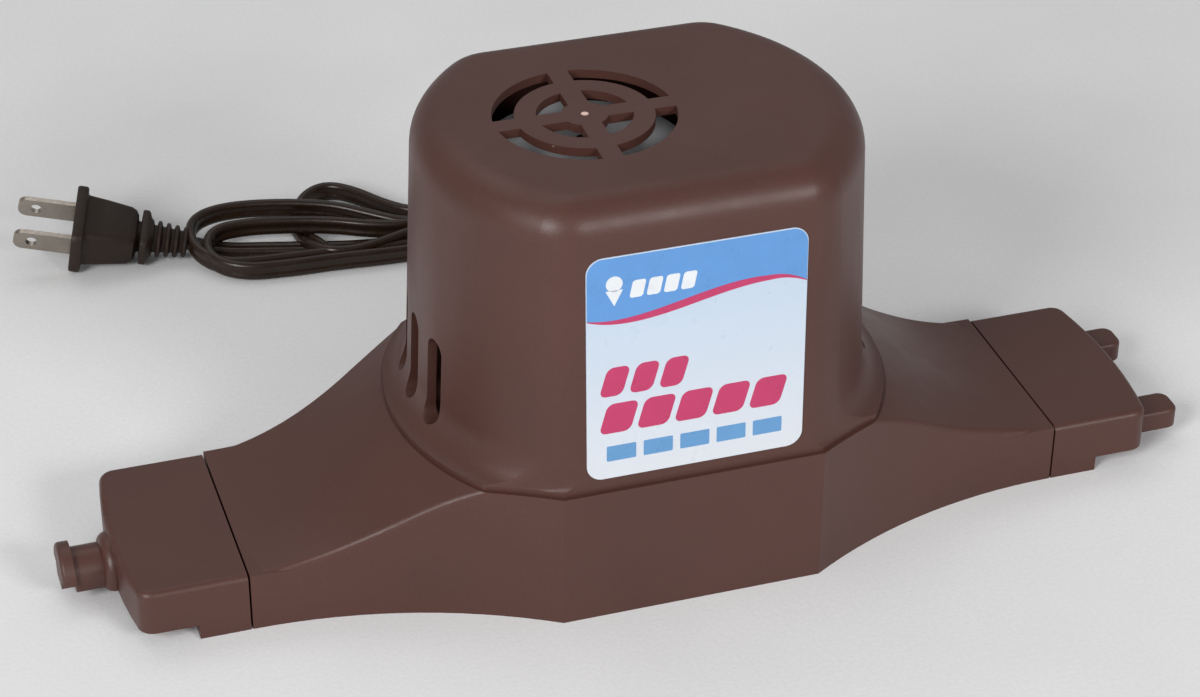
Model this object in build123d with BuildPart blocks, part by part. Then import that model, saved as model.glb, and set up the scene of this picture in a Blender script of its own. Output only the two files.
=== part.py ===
"""Motor drive unit of a bucket ice cream maker, in millimetres, +Z up.

X runs along the unit, from the locating peg (-X) to the two prongs (+X). The label faces -Y.
The origin is on the resting surface, on the axis of the drive socket.
"""
from build123d import *
from math import acos, atan2, cos, degrees, hypot, pi, radians, sin, sqrt, tan
import os

os.makedirs("parts", exist_ok=True)

# ---------------------------------------------------------------- housing
WALL = 2.2                  # moulded wall thickness
GAP = 0.3                   # clearance between nested mouldings
SKIRT_HALF_X = 32.7         # straight front and back faces of the centre skirt
SKIRT_HALF_Y = 47.0
ARM_HALF_Y = 27.0           # half width of the end blocks and of the arms' ends
ARM_END_X = 104.0
SEAM = 0.5                  # gap between the cover's ends and the end blocks
RIM_Z = 36.0                # flat rim that the dome stands on
RIM_R = 62.0
SHELF_OPENING_R = 46.5
SHELF_OPENING_HALF_Y = 43.0
ARM_CREST_Z = 36.5          # arm top where it meets the rim circle
ARM_KNEE_R = 73.0           # end of the steep cone, start of the concave sweep
ARM_KNEE_Z = 28.3
BLOCK_TOP_Z = 15.6
TOP_EDGE_R = 1.6
BLOCK_END_R = 133.0         # end faces are arcs about the origin
BLOCK_STEP_X = 116.8        # beyond this the block's underside is raised
BLOCK_STEP_Z = 4.0
BLOCK_CORNER_R = 4.0
BLOCK_EDGE_R = 1.8
COVER_BOSSES = (176.0, 30.0)  # spacing of the four screw bosses under the arms
COVER_BOSS_R = 4.0
COVER_BOSS_HEIGHT = 13.4
COVER_SCREW_GRIP = 9.0
POCKET_SIZE = (8.0, 20.0)   # relief pockets in each block's underside
POCKET_DEPTH = 12.4
POCKET_SPACING = 24.0
POCKET_OFFSET = 6.6         # from the block's inner face to a pocket's middle
FLOOR = 2.8                 # base floor thickness
OVERCUT = 1.0               # how far a cutting body runs past the face that it opens
TOUCH = 0.01                # tolerance when edges are picked by their place

PEG_R = 6.0                 # arch-shaped locating peg
PEG_AXIS_Z = 6.4
PEG_NECK_X = 142.3
PEG_TIP_X = 145.5
PEG_LIP_R = 7.6
PEG_LIP_LOW_Z = 7.5
PEG_LIP_EDGE_R = 2.0
ROOT_DEPTH = 5.0            # how far the peg and the prongs run into the end blocks
PEG_ROOT_X = 135.4          # start of the concave flare where the peg meets the block
PEG_ROOT_DEPTH = 2.6
PEG_ROOT_R = 8.2
PRONG_WIDTH = 9.0
PRONG_SPACING = 33.0
PRONG_LOW_Z = 4.4
PRONG_HEIGHT = 5.5
PRONG_TIP_X = 143.2
PRONG_TIP_R = 3.0
PRONG_EDGE_R = 1.2
PRONG_ROOT_X = BLOCK_END_R - ROOT_DEPTH

# ---------------------------------------------------------------- dome
DOME_TOP_Z = 111.0
DOME_FOOT_R = 56.4
DOME_FOOT_HALF_Y = 46.0
DOME_DRAFT = 2.2            # degrees
DOME_CORNER_R = 17.0        # vertical blend between the flats and the round ends
DOME_TOP_R = 9.0
FLARE_Z = 47.0              # top of the concave foot flare
FLARE_ARC = radians(78)     # how much of a quarter circle the flare's profile takes up
FLARE_STEPS = 6
FLARE_LIP = 1.4
COVER_TO_DOME = 1.0         # the dome's foot stands this far inside the cover's edge
DOME_SCREW_GRIP = 12.0
BOSS_R = 3.4
DOME_BOSS = (46.0, 20.0)
BOSS_TOP_Z = 56.0

MOTOR_X = -13.0             # the motor's shaft stands off the socket's axis
GRILLE_OUTER = (16.6, 21.9)
GRILLE_INNER = (5.6, 11.5)
SPOKE_WIDTH = 5.0
VENT_WIDTH = 6.5
VENT_SPACING = 12.5
VENT_LOW_Z = 40.5
VENT_HIGH_Z = 63.5

LABEL_WIDTH = 53.6
LABEL_HEIGHT = 59.0
LABEL_CORNER_R = 4.0
LABEL_THICKNESS = 0.3
LABEL_MIDDLE_Z = 69.0

# ---------------------------------------------------------------- gear train
PRESSURE_ANGLE = radians(25)
ADDENDUM = 0.8              # stub teeth, in modules
DEDENDUM = 1.0
ROOT_RELIEF = 0.02          # start of the flank above the root, in modules
FLANK_STEPS = 4
BACKLASH = 0.07             # tooth thinning on each gear
FIRST_MODULE = 0.7
PINION_TEETH = 10
IDLER_TEETH = 62
SECOND_MODULE = 1.05
IDLER_PINION_TEETH = 10
OUTPUT_TEETH = 60

OUTPUT_GEAR_Z = 6.0
OUTPUT_GEAR_HEIGHT = 8.0
IDLER_PINION_Z = 5.4
IDLER_GEAR_Z = 17.0
IDLER_GEAR_HEIGHT = 6.5
MOTOR_PINION_Z = 16.2
MOTOR_PINION_HEIGHT = 8.6
IDLER_PIN_R = 2.0
IDLER_PIN_LOW_Z = 1.4
IDLER_BOSS_R = 4.5
RUNNING = 0.05              # radial clearance of a running fit

GEAR_PLATE_Z = 28.0
GEAR_PLATE_THICKNESS = 2.0
GEAR_PLATE_R = 58.0
POSTS = [(-24.0, 39.5), (-24.0, -39.5), (24.0, 39.5), (24.0, -39.5)]
POST_R = 4.0
PLATE_SCREW_GRIP = 12.0
WIRE_SLOT = (18.0, 7.0)

HUB_R = 12.0
HUB_LOW_Z = 0.6
HUB_STEM_R = 5.0
HUB_STEM_TOP_Z = 31.5
HUB_BOSS_R = 16.0
HUB_BOSS_TOP_Z = 5.0
SOCKET_SIDE = 12.0          # square drive socket
SOCKET_TOP_Z = 13.2
SOCKET_ENTRY_R = 8.6
SOCKET_ENTRY_DEPTH = 3.6
HUB_BODY_TOP_Z = 15.8
BUSHING_R = 8.0
BUSHING_FLANGE_R = 9.6
BUSHING_FLANGE = 1.2
HUB_CHAMFER = 0.6
WEB_OUTER_R = 27.5
WEB_INNER_R = 15.0
WEB_RECESS = 2.4
WEB_HOLES = 6
WEB_HOLE_R = 4.0
IDLER_COLLAR_R = 4.0
IDLER_HOLE_CIRCLE_R = 13.5
IDLER_HOLE_R = 3.2
END_FLOAT = 0.2
WASHER_THICKNESS = 0.8

# ---------------------------------------------------------------- motor
SHAFT_R = 2.5
SHAFT_LOW_Z = 16.2
SHAFT_TOP_Z = 104.5
PINION_BORE_R = 1.6         # the shaft is turned down where the pinion is pressed on
PINION_SEAT_Z = 24.8
SHAFT_CHAMFER = 0.5
SHAFT_HOLE_R = 3.4
STACK_Z = 48.0
STACK_HEIGHT = 19.0
ROTOR_R = 12.4
AIR_GAP = 0.5
END_RING_HEIGHT = 2.0
END_RING_BORE = 0.55
BLOCK_HALF = 24.0           # square lamination block round the rotor
LEG_WIDTH = 8.0
CORE_X = (24.0, 36.0)       # the bar that carries the coil
COIL_BUILD = 8.6            # winding thickness all round the bobbin
BOBBIN_WALL = 1.0
WINDING_ROUND = 0.9         # corner radius of the winding, in shares of its build
FUSE_R = 2.0
FUSE_LENGTH = 14.0
FUSE_CHAMFER = 0.7
SCREW_Y = 19.5
STATOR_SCREW_GRIP = 9.0
BRACKET_Z = 36.0
BRACKET_THICKNESS = 2.5
BRACKET_WIDTH = 48.0
BRACKET_DEPTH = 52.0
BRACKET_WINDOW = (9.6, 26.0)
BRACKET_WINDOW_X = 16.0
BRACKET_POST_R = 4.0
UPPER_POST_HEIGHT = 9.0
STRAP_WIDTH = 14.0
STRAP_LENGTH = 48.0
STRAP_CORNER_R = 4.6
SEAT_R = 8.0
BEARING_R = 6.0
BEARING_HEIGHT = 6.5
BEARING_LEDGE = 0.5         # rim of the seat that keeps a bearing in
MOUNT_R = 4.6
MOUNT_SPACING = (40.0, 42.0)
SCREW_R = 1.5
SCREW_HEAD_R = 2.8
SCREW_HEAD_HEIGHT = 1.6
SLOT_LENGTH = 3.2
SLOT_WIDTH = 0.7
SLOT_DEPTH = 0.7
TIP_SPACE = 1.0             # room left past a screw's tip in a blind hole
RING_SIZE = (9.0, 2.0)      # shading ring, outer width and bar thickness
RING_SPOTS = [(-25.0, 13.0), (-1.0, -13.0)]

FAN_Z = 90.0
FAN_R = 25.0
FAN_DISC = 1.4
FAN_HEIGHT = 11.0
FAN_HUB_R = 6.5
FAN_VANES = 9
VANE_THICKNESS = 1.3
VANE_SWEEP = 26.0           # degrees between a vane's root and its tip
VANE_BOW = 0.2              # share of the sweep taken up by mid radius

# ---------------------------------------------------------------- wiring and cord
WIRE_R = 1.1
WIRE_BEND_R = 2.4
LUG_Y = 11.0
CONNECTOR_X = 4.0
CONNECTOR_R = 3.3
CONNECTOR_CHAMFER = 0.8
CONNECTOR_Z = 12.0
CONNECTOR_HEIGHT = 12.0
CONNECTOR_Y = 38.6
CORD_X = 10.0               # cord exit in the back wall
CORD_Z = 9.2
CORD_WIDTH = 5.5            # flat twin cord, over both conductors
RELIEF_LENGTH = 23.0
RELIEF_R = (5.0, 3.6)
RELIEF_FLANGE_R = 6.2
RELIEF_FLANGE = 1.2
RELIEF_EXIT_Y = SKIRT_HALF_Y + RELIEF_LENGTH
ARC_SHARE = 0.45            # a bend's radius, in shares of its shorter run over tan(half its turn)

# Route of the free cord from the strain relief to the hank, point by point.
LEAD_ROUTE = [
    (CORD_X, RELIEF_EXIT_Y, CORD_Z),
    (CORD_X, 84.0, CORD_Z),
    (14.0, 97.5, 5.4),
    (24.0, 107.5, 2.9),
    (38.0, 113.0, 2.85),
    (50.0, 116.0, 2.85),
]

HANK_LOW_Z = 0.05
HANK_HEIGHT = 13.5
# Plan circles that the wound cord fills, from its left end to its right: x, y, radius.
HANK_CIRCLES = [(-63.5, 143.5, 16.4), (-42.0, 151.0, 19.6), (-4.0, 133.5, 12.5), (46.5, 134.0, 20.5)]
HANK_EDGE_R = 3.0

PLUG_FACE = (-115.2, 153.5, 10.6)     # centre of the plug's front face
PLUG_TURN = radians(-14.0)            # from +X to the plug's axis, blades towards -X
PLUG_DIP = radians(10.5)              # the axis falls from the blades to the cord
PLUG_ROLL = 16.0                      # degrees, far blade raised
PLUG_FLANGE = (22.4, 15.5, 3.2)       # size across both blades, size along them, thickness
PLUG_BODY_FRONT = (17.5, 13.0)
PLUG_BODY_BACK = (13.0, 9.5)
PLUG_BODY_LENGTH = 15.5
PLUG_COLLAR = (16.0, 9.0, 2.2)
PLUG_CORNER_R = 2.0
PLUG_EDGE_R = 0.6
BOOT_RADIUS = 3.7
BOOT_LENGTH = 11.5
BOOT_RINGS = 3
BOOT_RING_R = 4.9
BOOT_RING_WIDTH = 1.5
BOOT_RING_PITCH = 3.0
BOOT_FIRST_RING = 1.8       # from the collar to the first ring
BLADE = (16.0, 6.35, 1.5)             # length, width, thickness
BLADE_TIP_R = 2.6
BLADE_SPACING = 12.7
BLADE_HOLE_R = 1.6
BLADE_HOLE_FROM_TIP = 5.0


def save(piece, name):
    """Label a finished piece and write its STEP file."""
    piece.part.label = name
    export_step(piece.part, f"parts/{name}.step")


def involute(angle):
    return tan(angle) - angle


def gear_points(teeth, module, phase):
    """Corner points of a spur gear whose first tooth points at the angle phase (degrees)."""
    pitch_r = module * teeth / 2
    base_r = pitch_r * cos(PRESSURE_ANGLE)
    root_r = pitch_r - DEDENDUM * module
    tip_r = pitch_r + ADDENDUM * module
    half_pitch = (pi * module / 2 - BACKLASH) / (2 * pitch_r) + involute(PRESSURE_ANGLE)
    flank_low = max(base_r, root_r) + ROOT_RELIEF * module
    flank = [flank_low + (tip_r - flank_low) * step / FLANK_STEPS for step in range(FLANK_STEPS + 1)]
    half = [half_pitch - involute(acos(base_r / r)) for r in flank]
    radii = [root_r] + flank + flank[::-1] + [root_r]
    offsets = [-half[0]] + [-h for h in half] + half[::-1] + [half[0]]
    points = []
    for tooth in range(teeth):
        centre = radians(phase) + 2 * pi * tooth / teeth
        points += [(r * cos(centre + a), r * sin(centre + a)) for r, a in zip(radii, offsets)]
    return points


def gear_face(teeth, module, phase, bore_r, height, axis=(0, 0)):
    """Face of a spur gear at the given height, with its bore, about the given axis."""
    with BuildSketch(Plane((*axis, height))) as outline:
        with BuildLine():
            Polyline(*gear_points(teeth, module, phase), close=True)
        make_face()
        Circle(bore_r, mode=Mode.SUBTRACT)
    return outline.sketch


FIRST_CENTRES = FIRST_MODULE * (PINION_TEETH + IDLER_TEETH) / 2
SECOND_CENTRES = SECOND_MODULE * (IDLER_PINION_TEETH + OUTPUT_TEETH) / 2
IDLER_X = (FIRST_CENTRES**2 - SECOND_CENTRES**2 - MOTOR_X**2) / (-2 * MOTOR_X)
IDLER_Y = sqrt(SECOND_CENTRES**2 - IDLER_X**2)
MOTOR_TO_IDLER = degrees(atan2(IDLER_Y, IDLER_X - MOTOR_X))
OUTPUT_TO_IDLER = degrees(atan2(IDLER_Y, IDLER_X))
print(f"idler axis at x {IDLER_X:.3f}, y {IDLER_Y:.3f}")

# ================================================================ gear cover
ARM_ARC_R = ((ARM_END_X - SKIRT_HALF_X) ** 2 + (SKIRT_HALF_Y - ARM_HALF_Y) ** 2) / (
    2 * (SKIRT_HALF_Y - ARM_HALF_Y)
)


def cover_outline(inset, height):
    """Cover outline in plan, moved inwards by inset: straight faces joined by concave arcs."""
    end_x = ARM_END_X - inset
    skirt_y = SKIRT_HALF_Y - inset
    radius = ARM_ARC_R + inset
    centre_y = ARM_HALF_Y + ARM_ARC_R
    skirt_x = ARM_END_X - sqrt(radius**2 - (centre_y - skirt_y) ** 2)
    middle_x = (skirt_x + end_x) / 2
    middle_y = centre_y - sqrt(radius**2 - (ARM_END_X - middle_x) ** 2)
    end_y = centre_y - sqrt(radius**2 - (ARM_END_X - end_x) ** 2)
    with BuildSketch(Plane.XY.offset(height)) as outline:
        with BuildLine():
            Polyline((end_x, end_y), (end_x, 0), (0, 0), (0, skirt_y), (skirt_x, skirt_y))
            ThreePointArc((skirt_x, skirt_y), (middle_x, middle_y), (end_x, end_y))
        make_face()
        mirror(about=Plane.YZ)
        mirror(about=Plane.XZ)
    return outline.sketch


def space_above_arms(drop):
    """Half section of all that lies above the arms' top surface, lowered by drop."""
    outer_r = ARM_END_X + 2 * WALL
    with BuildSketch(Plane.XZ) as section:
        with BuildLine():
            slope = Line((RIM_R, ARM_CREST_Z - drop), (ARM_KNEE_R, ARM_KNEE_Z - drop))
            sweep = TangentArc(slope @ 1, (ARM_END_X, BLOCK_TOP_Z - drop), tangent=slope % 1)
            Polyline(
                sweep @ 1,
                (outer_r, BLOCK_TOP_Z - drop),
                (outer_r, RIM_Z + WALL),
                (RIM_R, RIM_Z + WALL),
                slope @ 0,
            )
        make_face()
    return section.sketch


with BuildPart() as cover_cavity:
    extrude(cover_outline(WALL, -OVERCUT), amount=RIM_Z - WALL + OVERCUT)
    revolve(space_above_arms(WALL), axis=Axis.Z, mode=Mode.SUBTRACT)

with BuildPart() as gear_cover:
    extrude(cover_outline(0, 0), amount=RIM_Z)
    revolve(space_above_arms(0), axis=Axis.Z, mode=Mode.SUBTRACT)
    arm_edges = gear_cover.edges().filter_by(
        lambda e: hypot((e @ 0.5).X, (e @ 0.5).Y) > RIM_R
        and abs((e @ 0.5).Y) > ARM_HALF_Y - OVERCUT
        and abs((e @ 0).Z - (e @ 1).Z) > OVERCUT
        and abs((e @ 0).X - (e @ 1).X) > OVERCUT
    )
    fillet(arm_edges, TOP_EDGE_R)
    add(cover_cavity.part, mode=Mode.SUBTRACT)
    with BuildSketch(Plane.XY.offset(RIM_Z - WALL - OVERCUT)):
        Circle(SHELF_OPENING_R)
        Rectangle(2 * RIM_R, 2 * SHELF_OPENING_HALF_Y, mode=Mode.INTERSECT)
    extrude(amount=WALL + 2 * OVERCUT, mode=Mode.SUBTRACT)
    with BuildSketch(Plane.XY.offset(FLOOR + GAP)):
        with GridLocations(*COVER_BOSSES, 2, 2):
            Circle(COVER_BOSS_R)
    extrude(amount=COVER_BOSS_HEIGHT)
    with BuildSketch(Plane.XY.offset(FLOOR + GAP)):
        with GridLocations(*COVER_BOSSES, 2, 2):
            Circle(SCREW_R)
    extrude(amount=COVER_SCREW_GRIP, mode=Mode.SUBTRACT)
    with BuildSketch(Plane.XY.offset(RIM_Z - WALL)):
        with GridLocations(2 * DOME_BOSS[0], 2 * DOME_BOSS[1], 2, 2):
            Circle(SCREW_R)
    extrude(amount=WALL, mode=Mode.SUBTRACT)
    with BuildSketch(Plane.XZ.offset(-SKIRT_HALF_Y)):
        with Locations((CORD_X, CORD_Z)):
            Circle(RELIEF_R[0])
    extrude(amount=WALL, mode=Mode.SUBTRACT)
    with BuildSketch():
        with GridLocations(2 * ARM_END_X - WALL, 0, 2, 1):
            Rectangle(WALL + OVERCUT, 2 * (ARM_HALF_Y - WALL))
    extrude(amount=FLOOR + GAP, mode=Mode.SUBTRACT)
save(gear_cover, "gear_cover")

# ================================================================ base housing


def pin_holes(points, radius, low_z, depth):
    """Vertical cylinders for a group of holes, screws or posts, as loose solids."""
    with BuildPart() as pins:
        with BuildSketch(Plane.XY.offset(low_z)):
            with Locations(*points):
                Circle(radius)
        extrude(amount=depth)
    return pins.part


def block_outline(height, start_x):
    """Plan of both end blocks beyond start_x, with rounded end faces."""
    with BuildSketch(Plane.XY.offset(height)) as outline:
        Circle(BLOCK_END_R)
        Rectangle(2 * BLOCK_END_R, 2 * ARM_HALF_Y, mode=Mode.INTERSECT)
        Rectangle(2 * start_x, 2 * ARM_HALF_Y, mode=Mode.SUBTRACT)
        far = outline.vertices().filter_by(lambda v: abs(v.X) > start_x + OVERCUT)
        fillet(far, BLOCK_CORNER_R)
    return outline.sketch


def arch(radius, low_z, start_x):
    """Section about the peg's axis with a round top, cut off flat at low_z."""
    with BuildSketch(Plane.YZ.offset(start_x)) as section:
        with Locations((0, PEG_AXIS_Z)):
            Circle(radius)
        with Locations((0, low_z)):
            Rectangle(2 * radius, 3 * radius, align=(Align.CENTER, Align.MIN), mode=Mode.INTERSECT)
    return section.sketch


with BuildPart() as peg_root:
    with BuildSketch(Plane.XZ):
        with BuildLine():
            inner_x = PEG_ROOT_X - PEG_ROOT_DEPTH
            flare = RadiusArc(
                (-PEG_ROOT_X, PEG_AXIS_Z + PEG_R), (-inner_x, PEG_AXIS_Z + PEG_ROOT_R), PEG_ROOT_DEPTH
            )
            Polyline(flare @ 1, (-inner_x, PEG_AXIS_Z), (-PEG_ROOT_X, PEG_AXIS_Z), flare @ 0)
        make_face()
    revolve(axis=Axis((0, 0, PEG_AXIS_Z), (1, 0, 0)))
    with BuildSketch(Plane.XY.offset(BLOCK_STEP_Z)):
        Rectangle(2 * BLOCK_END_R + ARM_HALF_Y, 2 * ARM_HALF_Y)
    extrude(amount=BLOCK_TOP_Z, mode=Mode.INTERSECT)

with BuildPart() as base_housing:
    extrude(block_outline(0, ARM_END_X + SEAM), amount=BLOCK_TOP_Z)
    extrude(block_outline(0, BLOCK_STEP_X), amount=BLOCK_STEP_Z, mode=Mode.SUBTRACT)
    top_edges = base_housing.edges().filter_by(
        lambda e: (e @ 0.5).Z > BLOCK_TOP_Z - TOUCH and abs((e @ 0.5).X) > ARM_END_X + OVERCUT
    )
    fillet(top_edges, BLOCK_EDGE_R)
    with BuildSketch():
        with GridLocations(2 * (ARM_END_X + SEAM + POCKET_OFFSET), POCKET_SPACING, 2, 2):
            Rectangle(*POCKET_SIZE)
    extrude(amount=POCKET_DEPTH, mode=Mode.SUBTRACT)
    # floor plate, nested inside the cover's walls and reaching under its end walls
    extrude(cover_outline(WALL + GAP, 0), amount=FLOOR)
    with BuildSketch():
        with GridLocations(2 * ARM_END_X, 0, 2, 1):
            Rectangle(2 * (WALL + GAP + SEAM), 2 * (ARM_HALF_Y - WALL - GAP))
    extrude(amount=FLOOR)
    # hub boss, plate posts and idler pin boss
    with BuildSketch():
        Circle(HUB_BOSS_R)
        with Locations((IDLER_X, IDLER_Y)):
            Circle(IDLER_BOSS_R)
    extrude(amount=HUB_BOSS_TOP_Z)
    with BuildSketch():
        with Locations(*POSTS):
            Circle(POST_R)
    extrude(amount=GEAR_PLATE_Z)
    add(pin_holes(POSTS, SCREW_R, GEAR_PLATE_Z - PLATE_SCREW_GRIP, PLATE_SCREW_GRIP), mode=Mode.SUBTRACT)
    add(pin_holes([(0, 0)], HUB_R + RUNNING, 0, HUB_BOSS_TOP_Z), mode=Mode.SUBTRACT)
    add(pin_holes([(IDLER_X, IDLER_Y)], IDLER_PIN_R, IDLER_PIN_LOW_Z, HUB_BOSS_TOP_Z), mode=Mode.SUBTRACT)
    # countersunk holes for the cover screws
    with BuildSketch():
        with GridLocations(*COVER_BOSSES, 2, 2):
            Circle(SCREW_R + RUNNING)
    extrude(amount=FLOOR, mode=Mode.SUBTRACT)
    with BuildSketch():
        with GridLocations(*COVER_BOSSES, 2, 2):
            Circle(SCREW_HEAD_R + RUNNING)
    extrude(amount=SCREW_HEAD_HEIGHT, mode=Mode.SUBTRACT)
    # locating peg with its half lip
    extrude(arch(PEG_R, BLOCK_STEP_Z, -PEG_NECK_X), amount=PEG_NECK_X - BLOCK_END_R + ROOT_DEPTH)
    extrude(arch(PEG_LIP_R, PEG_LIP_LOW_Z, -PEG_TIP_X), amount=PEG_TIP_X - PEG_NECK_X)
    extrude(arch(PEG_R - PEG_LIP_EDGE_R, BLOCK_STEP_Z, -PEG_TIP_X), amount=PEG_TIP_X - PEG_NECK_X)
    add(peg_root.part)
    # prongs
    with BuildSketch(Plane.XY.offset(PRONG_LOW_Z)) as prong_plan:
        with Locations((PRONG_ROOT_X, -PRONG_SPACING / 2), (PRONG_ROOT_X, PRONG_SPACING / 2)):
            Rectangle(PRONG_TIP_X - PRONG_ROOT_X, PRONG_WIDTH, align=(Align.MIN, Align.CENTER))
        tips = prong_plan.vertices().filter_by(lambda v: v.X > PRONG_TIP_X - TOUCH)
        fillet(tips, PRONG_TIP_R)
    extrude(amount=PRONG_HEIGHT)
    prong_edges = base_housing.edges().filter_by(
        lambda e: (e @ 0.5).X > BLOCK_END_R + TOUCH
        and abs((e @ 0.5).Z - PRONG_LOW_Z - PRONG_HEIGHT) < TOUCH
    )
    fillet(prong_edges, PRONG_EDGE_R)
    peg_edges = base_housing.edges().filter_by(
        lambda e: (e @ 0.5).X < -PEG_TIP_X + TOUCH and (e @ 0.5).Z > PEG_LIP_LOW_Z + TOUCH
    )
    fillet(peg_edges, PEG_LIP_EDGE_R / 2)
save(base_housing, "base_housing")

# ================================================================ motor dome


def dome_section(inset, height):
    """Dome outline in plan: a circle with flat front and back, blended at the corners."""
    with BuildSketch(Plane.XY.offset(height)) as section:
        Circle(DOME_FOOT_R - inset)
        Rectangle(
            2 * DOME_FOOT_R, 2 * (DOME_FOOT_HALF_Y - inset), mode=Mode.INTERSECT
        )
        fillet(section.vertices(), DOME_CORNER_R - inset)
    return section.sketch


with BuildPart() as dome_cavity:
    extrude(dome_section(WALL, RIM_Z), amount=DOME_TOP_Z - RIM_Z - WALL, taper=DOME_DRAFT)
    fillet(dome_cavity.faces().sort_by(Axis.Z)[-1].edges(), DOME_TOP_R - WALL)

# The wall's corner blend is centred on BLEND_X, BLEND_Y at every height. The foot's outline has its
# corners where the cover's faces meet, and where the cover's arc meets the rim circle.
BLEND_Y = DOME_FOOT_HALF_Y - DOME_CORNER_R
BLEND_X = sqrt((DOME_FOOT_R - DOME_CORNER_R) ** 2 - BLEND_Y**2)
EDGE_ARC_R = ARM_ARC_R + COVER_TO_DOME
EDGE_ARC_Y = ARM_HALF_Y + ARM_ARC_R
SKIRT_CORNER_X = ARM_END_X - sqrt(EDGE_ARC_R**2 - (EDGE_ARC_Y - SKIRT_HALF_Y + COVER_TO_DOME) ** 2)
ARC_CENTRE = hypot(ARM_END_X, EDGE_ARC_Y)
RIM_CORNER_ANGLE = atan2(EDGE_ARC_Y, ARM_END_X) - acos(
    (RIM_R**2 + ARC_CENTRE**2 - EDGE_ARC_R**2) / (2 * RIM_R * ARC_CENTRE)
)
RIM_CORNER = (RIM_R * cos(RIM_CORNER_ANGLE), RIM_R * sin(RIM_CORNER_ANGLE))
EDGE_MIDDLE_X = (SKIRT_CORNER_X + RIM_CORNER[0]) / 2
EDGE_MIDDLE = (EDGE_MIDDLE_X, EDGE_ARC_Y - sqrt(EDGE_ARC_R**2 - (ARM_END_X - EDGE_MIDDLE_X) ** 2))


def foot_section(height, share):
    """Dome outline near the foot: share 0 is the plain wall, share 1 is the foot's own outline."""
    inset = (height - RIM_Z) * tan(radians(DOME_DRAFT))
    blend_r = DOME_CORNER_R - inset
    turn = atan2(BLEND_Y, BLEND_X)
    middle_turn = (turn + pi / 2) / 2
    wall = (
        (BLEND_X, BLEND_Y + blend_r),
        (BLEND_X + blend_r * cos(middle_turn), BLEND_Y + blend_r * sin(middle_turn)),
        (BLEND_X + blend_r * cos(turn), BLEND_Y + blend_r * sin(turn)),
        (DOME_FOOT_R - inset, 0),
    )
    foot = ((SKIRT_CORNER_X, BLEND_Y + blend_r), EDGE_MIDDLE, RIM_CORNER, (RIM_R, 0))
    flat, bend, rim, apex = (
        Vector(*start) + (Vector(*end) - Vector(*start)) * share for start, end in zip(wall, foot)
    )
    with BuildSketch(Plane.XY.offset(height)) as section:
        with BuildLine():
            ThreePointArc((rim.X, -rim.Y), (apex.X, 0), (rim.X, rim.Y))
            ThreePointArc((rim.X, rim.Y), (bend.X, bend.Y), (flat.X, flat.Y))
            Line((flat.X, flat.Y), (-flat.X, flat.Y))
            ThreePointArc((-flat.X, flat.Y), (-bend.X, bend.Y), (-rim.X, rim.Y))
            ThreePointArc((-rim.X, rim.Y), (-apex.X, 0), (-rim.X, -rim.Y))
            ThreePointArc((-rim.X, -rim.Y), (-bend.X, -bend.Y), (-flat.X, -flat.Y))
            Line((-flat.X, -flat.Y), (flat.X, -flat.Y))
            ThreePointArc((flat.X, -flat.Y), (bend.X, -bend.Y), (rim.X, -rim.Y))
        make_face()
    return section.sketch


def flare_sections():
    """Sections from the lip to the top of the flare, spaced along an arc of its concave profile."""
    lip_z = RIM_Z + FLARE_LIP
    for step in range(FLARE_STEPS, -1, -1):
        angle = FLARE_ARC * step / FLARE_STEPS
        height = FLARE_Z - (FLARE_Z - lip_z) * sin(angle) / sin(FLARE_ARC)
        yield foot_section(height, (1 - cos(angle)) / (1 - cos(FLARE_ARC)))


with BuildPart() as motor_dome:
    extrude(foot_section(FLARE_Z, 0), amount=DOME_TOP_Z - FLARE_Z, taper=DOME_DRAFT)
    fillet(motor_dome.faces().sort_by(Axis.Z)[-1].edges(), DOME_TOP_R)
    loft([section.face() for section in flare_sections()])
    extrude(foot_section(RIM_Z + FLARE_LIP, 1), amount=-FLARE_LIP)
    add(dome_cavity.part, mode=Mode.SUBTRACT)
    # screw bosses tied to the wall
    with BuildSketch(Plane.XY.offset(RIM_Z)):
        with GridLocations(2 * DOME_BOSS[0], 2 * DOME_BOSS[1], 2, 2):
            Circle(BOSS_R)
        Circle(DOME_FOOT_R - WALL, mode=Mode.INTERSECT)
    extrude(amount=BOSS_TOP_Z - RIM_Z)
    with BuildSketch(Plane.XY.offset(RIM_Z)):
        with GridLocations(2 * DOME_BOSS[0], 2 * DOME_BOSS[1], 2, 2):
            Circle(SCREW_R)
    extrude(amount=DOME_SCREW_GRIP, mode=Mode.SUBTRACT)
    # top grille: two rings of slots crossed by four spokes, round a hub
    with BuildSketch(Plane.XY.offset(DOME_TOP_Z)):
        with Locations((MOTOR_X, 0)):
            Circle(GRILLE_OUTER[1])
            Circle(GRILLE_OUTER[0], mode=Mode.SUBTRACT)
            Circle(GRILLE_INNER[1])
            Circle(GRILLE_INNER[0], mode=Mode.SUBTRACT)
            Rectangle(2 * GRILLE_OUTER[1] + OVERCUT, SPOKE_WIDTH, mode=Mode.SUBTRACT)
            Rectangle(SPOKE_WIDTH, 2 * GRILLE_OUTER[1] + OVERCUT, mode=Mode.SUBTRACT)
    extrude(amount=-WALL, mode=Mode.SUBTRACT)
    # side vents
    with BuildSketch(Plane.YZ):
        with Locations((0, (VENT_LOW_Z + VENT_HIGH_Z) / 2)):
            with GridLocations(VENT_SPACING, 0, 3, 1):
                SlotOverall(VENT_HIGH_Z - VENT_LOW_Z, VENT_WIDTH, rotation=90)
    extrude(amount=RIM_R, both=True, mode=Mode.SUBTRACT)
save(motor_dome, "motor_dome")

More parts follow.
